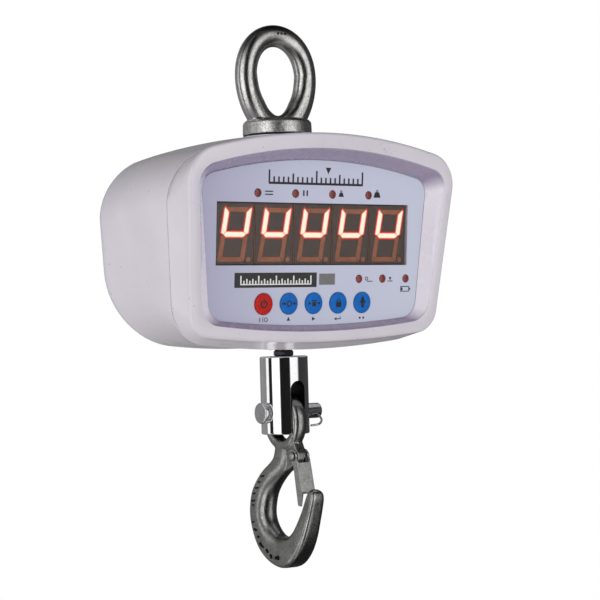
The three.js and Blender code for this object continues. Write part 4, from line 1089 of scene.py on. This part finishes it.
def make_digits():
    outlines = segment_outlines()
    for i in range(DIGITS):
        x = WINDOW_X + (i - (DIGITS - 1) / 2) * DIGIT_PITCH
        rings = []
        for width, height, y in ((DIGIT_W - 1.2, WINDOW_H - 1.8, FACE_Y), (DIGIT_W - 0.6,
                                 WINDOW_H - 1.2, FACE_Y + 0.35), (DIGIT_W - 0.6, WINDOW_H - 1.2,
                                 MODULE_FRONT), (DIGIT_W, DIGIT_H, MODULE_FRONT + 0.2),
                                 (DIGIT_W, DIGIT_H, MODULE_FRONT + DIGIT_D)):
            rings.append([Vector((px, y, pz)) for px, pz in rounded_rect(
                width, height, 0.6, x, WINDOW_Z, 3)])
        dress(new_object(f"digit_{i + 1}_module", on_panel(loft(rings))), "digit_body",
              "digit_body", "housing", f"digit_{i + 1}")
        z = WINDOW_Z - 0.6
        unlit = []
        for points, lit in outlines.values():
            if lit:
                continue
            slanted = [(x + px + SLANT * pz, z + pz) for px, pz in points]
            unlit.append(slab(slanted, FACE_Y - 0.1, FACE_Y + 0.1))
        unlit.append(disc(1.65, x + 11, z - 16.3, FACE_Y - 0.1, FACE_Y + 0.1))
        dress(new_object(f"digit_{i + 1}_segments", on_panel(merge(*unlit))), "segment",
              "digit_body")
        make_glow(f"digit_{i + 1}_lit", [points for points, lit in outlines.values() if lit], x, z)
    dividers = [bar(0.5, WINDOW_H - 2, WINDOW_X + (i - 1.5) * DIGIT_PITCH, WINDOW_Z,
                    FACE_Y - 0.06, FACE_Y + 0.5) for i in range(DIGITS - 1)]
    dress(new_object("display_dividers", on_panel(merge(*dividers))), "divider", "digit_body")


def key_icon(name, x, front, back):
    z = KEY_Z
    if name == "key_power":
        return [arc(1.4, 2.15, x, z - 0.1, 120, 420, front, back),
                bar(0.75, 2.2, x, z + 1.4, front, back)]
    if name == "key_zero":
        return [arc(1.1, 1.75, x, z, front=front, back=back), arrow(1.8, x - 3.0, z, 0, front, back),
                arrow(1.8, x + 3.0, z, 180, front, back), bar(1.0, 0.5, x - 4.2, z, front, back),
                bar(1.0, 0.5, x + 4.2, z, front, back)]
    if name == "key_tare":
        return [bar(2.4, 2.4, x, z - 0.5, front, back), bar(3.4, 0.6, x, z + 1.4, front, back),
                arrow(1.8, x - 3.1, z, 0, front, back), arrow(1.8, x + 3.1, z, 180, front, back)]
    if name == "key_hold":
        return [bar(3.4, 2.9, x, z - 0.9, front, back),
                arc(0.85, 1.4, x, z + 0.6, 0, 180, front, back)]
    return [arrow(4.2, x, z + 1.2, 90, front, back), bar(1.7, 2.4, x, z - 1.5, front, back)]


def make_keys():
    front = PANEL_FACE - KEY_PROUD
    for name, x in KEYS.items():
        profile = [(0, front - 0.15), (KEY_RADIUS * 0.6, front - 0.08),
                   (KEY_RADIUS - 0.3, front + 0.1), (KEY_RADIUS, front + 0.7),
                   (KEY_RADIUS, PANEL_SEAT - 1), (KEY_RADIUS - 1.6, PANEL_SEAT - 1),
                   (KEY_RADIUS - 1.6, PANEL_BACK - 1.2), (KEY_STEM, PANEL_BACK - 1.2),
                   (KEY_STEM, KEY_FOOT), (0, KEY_FOOT)]
        colour = "key_red" if name == "key_power" else "key_blue"
        cap = turned(softened(profile, 0.35), "y", 64)
        dress(new_object(name + "_cap", on_panel(moved(cap, x, 0, KEY_Z)), 50), colour, colour,
              name, name)
        grow = Matrix.Translation((x, 0, KEY_Z)) @ Matrix.Diagonal((1.25, 1, 1.25, 1))
        icon = [turned_about(moved(shape, -x, 0, -KEY_Z), grow)
                for shape in key_icon(name, x, front - 0.2, front + 0.3)]
        dress(new_object(name + "_icon", on_panel(merge(*icon))), "ink", "black_plastic", name)


def make_print():
    """Everything printed on the film: plain bars, ticks and pictograms, with no lettering."""
    ink = [bar(77.6, 1.5, SCALE_X, SCALE_Z)]
    for i in range(21):
        height = 8.2 if i % 10 == 0 else 6.0 if i % 5 == 0 else 3.8
        ink.append(bar(1.3, height, SCALE_X + SCALE_PITCH * (i - 10), SCALE_Z + 0.5 + height / 2))
    ink.append(arrow(4.6, SCALE_X + 9.6, SCALE_Z + 9.5, -90))
    x, z = LAMPS["indicator_stable"]
    ink += [bar(6.4, 0.75, x + 8.8, z + 1.1), bar(6.4, 0.75, x + 8.8, z - 0.9)]
    x, z = LAMPS["indicator_hold"]
    ink += [bar(1.2, 3.8, x + 6.6, z + 0.4), bar(1.2, 3.8, x + 9.4, z + 0.4)]
    for name, size in (("indicator_pounds", 2.2), ("indicator_kilograms", 3.0)):
        x, z = LAMPS[name]
        x, z = x + 7.2, z - 1.5
        ink.append(slab([(x - size, z), (x + size, z), (x + size * 0.6, z + size * 1.2),
                         (x - size * 0.6, z + size * 1.2)], INK_FRONT, INK_BACK))
        ink.append(arc(0.45, 0.95, x, z + size * 1.2 + 0.75))
    x, z = LAMPS["indicator_zero"]
    ink += [arc(0.8, 1.35, x + 6.4, z + 0.1), bar(4.8, 0.55, x + 9.2, z - 1.7)]
    x, z = LAMPS["indicator_tare"]
    ink += [arrow(2.4, x + 6.6, z + 0.2, -90), bar(4.6, 0.55, x + 6.6, z - 1.7)]
    x, z = LAMPS["indicator_low_battery"]
    ink += [frame_of(7.6, 3.8, 0.55, x - 0.6, z - 7.2), bar(0.8, 1.7, x + 3.8, z - 7.2),
            bar(1.3, 2.0, x - 3.1, z - 7.2)]
    under = KEY_Z - 10.4
    x = KEYS["key_power"]
    ink += [bar(0.65, 2.9, x - 2.6, under), arc(1.0, 1.5, x + 2.2, under),
            bar(0.5, 3.4, x - 0.3, under)]
    ink += [arrow(2.8, KEYS["key_zero"], under, 90), arrow(2.8, KEYS["key_tare"], under, 0)]
    x = KEYS["key_hold"]
    ink += [arrow(2.2, x - 1.7, under - 0.4, 180), bar(3.2, 0.6, x + 0.6, under - 0.4),
            bar(0.6, 1.9, x + 2.2, under + 0.3)]
    x = KEYS["key_shift"]
    ink += [disc(0.75, x - 1.5, under), disc(0.75, x + 1.5, under)]
    dress(new_object("panel_print", on_panel(merge(*ink))), "ink", "panel_film")
    plate = bar(66, 9.8, PLATE_X, PLATE_Z)
    dress(new_object("capacity_label", on_panel(plate)), "label", "panel_film")
    on_plate = (INK_FRONT - 0.06, INK_FRONT + 0.05)
    ticks = []
    for i in range(25):
        height = 5.4 if i % 6 == 0 else 3.4 if i % 2 == 0 else 2.2
        ticks.append(bar(1.05, height, PLATE_X - 28 + PLATE_PITCH * i,
                         PLATE_Z - 2.5 + height / 2, *on_plate))
    ticks.append(bar(57, 0.7, PLATE_X + 0.1, PLATE_Z - 2.8, *on_plate))
    dress(new_object("capacity_marks", on_panel(merge(*ticks))), "white_ink", "panel_film")
    badge = merge(frame_of(13.1, 7.5, 0.35, BADGE_X, BADGE_Z, INK_FRONT - 0.04),
                  bar(12.5, 6.9, BADGE_X, BADGE_Z),
                  arc(1.2, 1.7, BADGE_X, BADGE_Z, front=INK_FRONT - 0.05))
    dress(new_object("approval_plate", on_panel(badge)), "badge", "panel_film")


# ---------------------------------------------------------------- lifting eye and swivel
def make_eye():
    middle, reach = (EYE_TOP + EYE_BOTTOM) / 2, (EYE_TOP - EYE_BOTTOM) / 2
    steps = 96
    path = []
    for t in circle(steps):
        z = middle + reach * math.cos(t)
        path.append(Vector((math.sin(t) * EYE_HALF * (1 + EYE_EGG * math.cos(t)), 0, z)))
    rings = []
    for i, point in enumerate(path):
        along = (path[(i + 1) % steps] - path[i - 1]).normalized()
        out = along.cross(Vector((0, 1, 0)))
        ring = [point + (out * math.cos(a) + Vector((0, 1, 0)) * math.sin(a)) * EYE_STOCK / 2
                for a in circle(32)]
        rings.append([Vector((p.x, p.y, max(p.z, COLLAR_BOTTOM + 1))) for p in ring])
    r = COLLAR_RADIUS
    collar = turned([(0, COLLAR_BOTTOM), (r, COLLAR_BOTTOM), (r - 0.2, COLLAR_TOP - 1.9),
                     (r - 1.9, COLLAR_TOP), (r - 2.9, COLLAR_TOP), (r - 3.4, COLLAR_TOP + 0.5),
                     (r - 8, COLLAR_TOP + 0.3), (0, COLLAR_TOP - 0.4)], "z", 96)
    shank = rod(SHANK_RADIUS, SHANK_BOTTOM, COLLAR_BOTTOM + 2)
    thread = rod(THREAD_RADIUS, THREAD_BOTTOM, SHANK_BOTTOM + 2)
    stock = EYE_STOCK / 2 - 0.1
    fork = [*EYE_FORK, (0, EYE_SADDLE - stock), *((-x, z) for x, z in reversed(EYE_FORK))]
    saddle = tube(smooth_path([Vector((x, 0, z)) for x, z in fork], 6), stock, 32)
    eye = new_object("lifting_eye_forging",
                     merge(loft(rings, looped=True), collar, shank, thread, saddle))
    blended(eye, 0.5, 10)
    dots = [moved(rod(EYE_MARK_RADIUS, -0.45, 0.6, "y", 20), EYE_MARK_PITCH * i, 0, 0)
            for i in (-1, 0, 1)]
    place = (Matrix.Translation((EYE_MARK_X, -EYE_STOCK / 2 * 0.995, EYE_MARK_Z))
             @ Matrix.Rotation(-4 * DEG, 4, "X"))
    marks = [turned_about(shape, place) for shape in dots]
    dress(eye, "forged_eye", "forged_eye", "housing", "lifting_eye")
    eye.data.materials.append(finishes["dull_forging"])
    for face in eye.data.polygons:
        face.material_index = int(face.center.z < (COLLAR_TOP - 0.2) * MM)
    # Painted shade: the eye's marks are coloured dark steel to stand for the shadows round them.
    dress(new_object("lifting_eye_marks", merge(*marks)), "black_steel", "forged_eye")
    ring = turned([(SHANK_RADIUS + GAP, SEAT_TOP + GAP), (r - 0.4, SEAT_TOP + GAP),
                   (r - 0.4, COLLAR_BOTTOM - GAP), (SHANK_RADIUS + GAP, COLLAR_BOTTOM - GAP),
                   (SHANK_RADIUS + GAP, SEAT_TOP + GAP)], "z", 72, 0.15)
    dress(new_object("eye_gasket_ring", ring), "rubber", "rubber", "housing", "eye_gasket")


def make_swivel():
    across = HEX_FLATS / math.sqrt(3)
    stud = turned([(0, STUD_BOTTOM), (STUD_RADIUS - 1, STUD_BOTTOM),
                   (STUD_RADIUS, STUD_BOTTOM + 1), (STUD_RADIUS, STUD_TOP - 1),
                   (STUD_RADIUS - 1, STUD_TOP), (0, STUD_TOP)])
    hexagon = []
    for by, z in ((0.6, BLOCK_TOP + GAP), (0, BLOCK_TOP + GAP + 0.5),
                  (0, HEX_TOP - 0.5), (0.6, HEX_TOP)):
        hexagon.append([Vector(((across - by) * math.cos(a), (across - by) * math.sin(a), z))
                        for a in circle(6)])
    stud = new_object("hook_stud_steel", stud)
    carve(stud, loft(hexagon), operation="UNION")
    dress(stud, "black_steel", "black_steel", "swivel", "hook_stud")
    bore = STUD_RADIUS + 0.5
    boot = turned([(bore, BOOT_BOTTOM), (bore, BOOT_TOP), (STUD_RADIUS + 3, BOOT_TOP),
                   (DRAIN_RADIUS + 2.4, BOOT_TOP - 2), (DRAIN_RADIUS + 2.4, BOOT_STEP),
                   (DRAIN_RADIUS - GAP, BOOT_STEP), (DRAIN_RADIUS - GAP, BOOT_BOTTOM),
                   (bore, BOOT_BOTTOM)], "z", 64, 0.4)
    dress(new_object("bottom_boot_rubber", boot), "rubber", "rubber", "housing", "bottom_boot")


def make_clevis():
    r = BLOCK_RADIUS
    segments = 160
    profile = softened([(0, BLOCK_BOTTOM), (r, BLOCK_BOTTOM), (r, BLOCK_TOP), (0, BLOCK_TOP)], 1.3, 5)
    body = new_object("clevis_block_body", turned(profile, "z", segments), 40)
    half = SLOT / 2
    arch = [(-half, BLOCK_BOTTOM - 5), (half, BLOCK_BOTTOM - 5)]
    arch += [(half * math.cos(a), SLOT_TOP - half + half * math.sin(a))
             for a in (math.pi * i / 24 for i in range(25))]
    carve(body, slab(arch, -r - 2, r + 2), sharp=40)
    carve(body, moved(rod(PIN_RADIUS + GAP, -r - 2, r + 2, "x", 64), 0, 0, PIN_Z), sharp=40)
    carve(body, rod(STUD_RADIUS + GAP, -225, BLOCK_TOP + 2, segments=64), sharp=40)
    weighted(body)
    dress(body, "chrome", "chrome", "swivel", "clevis_block")
    # Painted shade: faces inside the slot and bores take bare steel made dark to stand for the shade
    # in them.
    body.data.materials.append(finishes["bare_steel_and_slot_shade"])
    for face in body.data.polygons:
        centre = face.center / MM
        inside = math.hypot(centre.x, centre.y) < r - 1.5
        face.material_index = int(inside and BLOCK_BOTTOM + 0.3 < centre.z < BLOCK_TOP - 0.3)

    pin = turned(softened([(0, PIN_FACE), (PIN_HEAD, PIN_FACE), (PIN_HEAD, PIN_FACE + PIN_THICK),
                           (PIN_RADIUS, PIN_FACE + PIN_THICK), (PIN_RADIUS, PIN_END),
                           (0, PIN_END)], 1.0, 4), "x", 96)
    pin = new_object("clevis_pin_steel", moved(pin, 0, 0, PIN_Z), 40)
    lean = Matrix.Translation((COTTER_X, 0, PIN_Z)) @ Matrix.Rotation(COTTER_LEAN, 4, "X")
    carve(pin, turned_about(rod(COTTER_RADIUS + GAP, -9, 9, "z", 24), lean), sharp=40)
    dress(pin, "pin_steel", "chrome", "swivel", "clevis_pin")

    back, up = -math.sin(COTTER_LEAN), math.cos(COTTER_LEAN)
    leg = [(COTTER_X, s * back, s * up) for s in (9.2, 5, 0, -5.6)]
    leg += [(COTTER_X + 0.2, -8.2, -6.2), (COTTER_X - 0.6, -6.8, -9), (COTTER_X - 3.4, -5.8, -9.7),
            (COTTER_X - 6.6, -5.2, -9.9)]
    wire = tube(smooth_path(leg, 6), COTTER_RADIUS, 16)
    loop_y, loop_z, loop_radius = 9.6 * back + 1.2, 9.6 * up + 0.7, 2.3
    loop = [Vector((COTTER_X, loop_y + loop_radius * math.cos(a),
                    loop_z + loop_radius * math.sin(a))) for a in circle(28)]
    split = new_object("split_pin_wire", moved(merge(wire, tube(loop, COTTER_RADIUS, 16, True)),
                                               0, 0, PIN_Z))
    blended(split, 0.3, 2)
    dress(split, "steel", "steel", "swivel", "split_pin")


# ---------------------------------------------------------------- hook and latch
# Sections of the hook's body from its neck to its tip: outside (y, z), inside (y, z) and half
# its thickness.
HOOK_SECTIONS = [
    (8, -272, -8, -273, 4.4), (8.8, -277.5, -8.6, -279.5, 4.8), (10.4, -282.4, -8.2, -286.3, 5.4),
    (14.2, -286.2, -4, -291, 6.3), (22, -292, 4, -296.3, 7.3), (30, -300.5, 12, -303.2, 7.9),
    (35.2, -309.5, 16.8, -310.5, 8), (37, -322, 19.2, -320.8, 8), (34, -334.5, 16.4, -328, 8),
    (27, -345.8, 10.6, -333.3, 8), (16, -353.6, 5.2, -335.6, 8), (3, -357.2, -0.5, -336, 8),
    (-8, -355.4, -6.2, -334, 7.9), (-18, -348, -11, -330.2, 7.5),
    (-25.5, -337.5, -15.4, -324.6, 6.9), (-31, -325, -20.4, -317, 6.1),
    (-35.3, -313, -24.8, -309, 5.6), (-36.6, -308, -26.8, -305.4, 5.2),
    (-36, -304.4, -28.4, -303.2, 4.4), (-33.8, -302.4, -30.4, -302, 2.4),
]
# Raised forging marks, plain dashes: how far round the hook each is, and how long in mm.
HOOK_MARKS = [(0.235, 3.6), (0.26, 1.6), (0.283, 3.8), (0.306, 2.4), (0.33, 3.8), (0.352, 1.6),
              (0.4, 1.5), (0.425, 3.6), (0.45, 2.4), (0.474, 3.8), (0.498, 1.6), (0.52, 3.6),
              (0.543, 3.6), (0.566, 2.2), (0.588, 3.6)]


def hook_section(outside, inside, thick):
    """Flat cheeks, rounded outside corners and a crowned inside."""
    centre, reach = (outside + inside) / 2, (outside - inside) / 2
    corner = min(0.36, 3.3 / max(reach.length, 1))
    half = [(1.0, 0.0), (1.0, 0.45)]
    half += [(1 - corner * (1 - math.sin(a)), 1 - 0.42 * (1 - math.cos(a)))
             for a in (math.pi / 2 * (1 - i / 5) for i in range(1, 6))]
    half += [(0.35, 1.0), (0.05, 1.0)]
    half += [(0.05 - 1.05 * math.sin(a), math.cos(a) ** 0.85)
             for a in (math.pi / 2 * i / 7 for i in range(1, 7))]
    half.append((-1.0, 0.0))
    points = []
    for along, side in half:
        p = centre + reach * along
        points.append(Vector((-thick * side, p.x, p.y)))
    points += [Vector((-p.x, p.y, p.z)) for p in reversed(points[1:-1])]
    return points


def make_hook():
    outside = smooth_path([(a, b, 0) for a, b, _, _, _ in HOOK_SECTIONS], 4)
    inside = smooth_path([(c, d, 0) for _, _, c, d, _ in HOOK_SECTIONS], 4)
    thick = smooth_path([(t, 0, 0) for *_, t in HOOK_SECTIONS], 4)
    rings = [hook_section(Vector(a[:2]), Vector(b[:2]), t[0])
             for a, b, t in zip(outside, inside, thick)]
    half = HOOK_EYE_THICK / 2
    middle = (HOOK_EYE_HOLE + HOOK_EYE_RADIUS) / 2
    reach = (HOOK_EYE_RADIUS - HOOK_EYE_HOLE) / 2
    profile = []
    for a in circle(24):
        c, s = math.cos(a), math.sin(a)
        profile.append((middle + reach * math.copysign(abs(c) ** 0.86, c),
                        half * math.copysign(abs(s) ** 0.86, s)))
    eye = moved(turned([*profile, profile[0]], "x", 96), 0, 0, HOOK_EYE_Z)
    width = LATCH_INNER - GAP - 0.2
    horn = softened([(9.5, -272), (6, -275), (6.5, -284), (0, -292), (-8, -289.4), (-13.2, -286.6),
                     (-17.2, -284.9), (-19.3, -282.6), (-19.2, -278.6), (-16.8, -275),
                     (-14.5, -270.5), (-8, -270), (0, -272)], 1.6, 3, closed=True)
    made = new_object("hook_forging", merge(loft(rings), eye, slab_x(horn, -width, width)))
    blended(made, 0.6, 5)
    hole = moved(rod(HOOK_EYE_HOLE, -10, 10, "x", 96), 0, 0, HOOK_EYE_Z)
    carve(made, hole, moved(rod(RIVET + GAP, -10, 10, "x", 32), 0, LATCH_Y, LATCH_Z), sharp=75)
    room = SPRING_TO - SPRING_FROM + 3
    start = SPRING_FROM - 0.6
    carve(made, moved(rod(SPRING_COIL + 1.2, start, start + room, "x", 32), 0, LATCH_Y, LATCH_Z),
          sharp=60)
    carve(made, block(room, 12, 13, start + room / 2, LATCH_Y - 6, LATCH_Z - 6), sharp=60)
    dress(made, "forged_hook", "forged_hook", "hook", "hook")

    marks = []
    length = len(outside)
    for k, (share, kind) in enumerate(HOOK_MARKS):
        i = int(share * (length - 1))
        a, b, t = Vector(outside[i][:2]), Vector(inside[i][:2]), thick[i][0]
        across = (b - a).normalized()
        point = a + across * (b - a).length * (0.31 + 0.03 * ((k * 7) % 3 - 1))
        angle = math.atan2(across.y, across.x)
        shape = pad(kind * 0.9, 1.25, 0.4, -0.75, 0.9, 0, 0, 0.25)
        shape = turned_about(shape, Matrix.Rotation(-angle, 4, "Y"))
        shape = turned_about(shape, Matrix.Rotation(-90 * DEG, 4, "Z"))
        marks.append([Vector((-t - 0.05, point.x, point.y)), shape])
    shapes = [moved(shape, *place) for place, shape in marks]
    # Painted shade: the raised marks are coloured dark steel to stand for the shadows round them.
    dress(new_object("hook_raised_marks", merge(*shapes)), "black_steel", "forged_hook", "hook")


def make_latch():
    y, z = LATCH_Y, LATCH_Z
    outer = LATCH_INNER + LATCH_SHEET
    side = [(y + 4.6 * math.cos(a), z + 4.6 * math.sin(a))
            for a in (math.pi * (1 - i / 18) for i in range(19))]
    side += [(y - 0.8, z - 6.2), (-19.4, -313.4), (-22.9, -313.9), (-25.3, -305.2), (-20.4, -283.6)]
    made = new_object("latch_sheet", slab_x(softened(side, 0.8, 3, closed=True), -outer, outer))
    inner = [(y - 10, z + 6), (y + 10, z + 6), (y + 10, -320), (-30, -320), (-30, -305.6),
             (-24.0, -305.2), (-19.2, -284.6), (-30, -283.6)]
    carve(made, slab_x(inner, -LATCH_INNER, LATCH_INNER))
    carve(made, moved(rod(RIVET + GAP, -12, 12, "x", 32), 0, y, z))
    bevelled(made, 0.32, 3, 40, 50)
    fold_y, fold_z, fold_slope = -20.4, -283.6, 0.227
    for vertex in made.data.vertices:        # below the rivet the cheeks draw in behind the fold
        _, y_here, z_here = vertex.co / MM
        below = min(max((fold_z - 0.4 - z_here) / 4, 0), 1)
        behind = min(max((y_here - fold_y - (z_here - fold_z) * fold_slope) / 7, 0), 1)
        vertex.co.x *= 1 - 0.08 * below * behind
    dress(made, "zinc_sheet", "zinc_sheet", "latch", "latch")

    end = outer + GAP
    head = 3.3
    rivet = turned([(0, -end - 2.1), (head - 1.2, -end - 1.7), (head, -end - 0.8), (head, -end),
                    (RIVET, -end), (RIVET, end), (head, end), (head, end + 0.8),
                    (head - 1.2, end + 1.7), (0, end + 2.1)], "x", 40, 0.7)
    dress(new_object("latch_rivet_steel", moved(rivet, 0, y, z), 50), "forged_hook", "steel", "hook",
          "latch_rivet")

    points = []
    per_turn = 14
    turns = int(SPRING_TURNS * per_turn)
    for i in range(turns + 1):
        a = math.pi / 2 + i * 2 * math.pi / per_turn
        points.append((SPRING_FROM + (SPRING_TO - SPRING_FROM) * i / turns,
                       y + SPRING_COIL * math.cos(a), z + SPRING_COIL * math.sin(a)))
    points += [(SPRING_TO, y - SPRING_COIL - 0.3, z - 2.2), (SPRING_TO, y - 4.3, z - 6),
               (SPRING_TO, -19.6, z - 10.5)]
    dress(new_object("latch_spring_wire", tube(smooth_path(points, 3), SPRING_WIRE, 10)), "steel",
          "steel", "latch", "latch_spring")


# ---------------------------------------------------------------- CAD nodes that stay
KEPT = {
    "cover_gasket": "seam", "load_cell": "aluminium", "housing_clamp_nut": "steel",
    "cell_lock_nut": "steel", "bearing_cup": "steel", "bearing_cap": "steel",
    "bearing_lower_race": "steel", "bearing_upper_race": "steel", "ball_cage": "steel",
    "stud_nut": "steel", "stud_cotter": "steel", "battery": "battery",
    "battery_bracket": "aluminium", "main_board": "board", "display_board": "board",
    "key_board": "board", "load_cell_cable": "rubber",
}


def finish_kept_nodes():
    for name, finish in KEPT.items():
        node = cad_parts[name]
        for place in node.material_slots:
            place.link = "OBJECT"
            place.material = finishes[finish]


def make_floor():
    floor = new_object("floor", rod(1350, -640, -630, "z", 96))
    made = Finish("pale_floor", Emission_Color=(1, 1, 1, 1), Emission_Strength=0.3)
    colour = made.ramp(made.noise(400), (0.3, (0.86, 0.86, 0.86, 1)), (0.7, (0.88, 0.88, 0.88, 1)))
    floor.visible_glossy = False
    floor.data.materials.append(made.done(colour, made.remap(made.noise(60), 0.6, 0.7)))


scene.view_settings.view_transform = "Standard"
make_camera()
make_world()
make_lights()
finishes = make_finishes()
make_floor()
make_front_cover()
make_rear_cover()
make_fasteners()
make_panel()
make_digits()
make_keys()
make_print()
make_eye()
make_swivel()
make_clevis()
make_hook()
make_latch()
finish_kept_nodes()
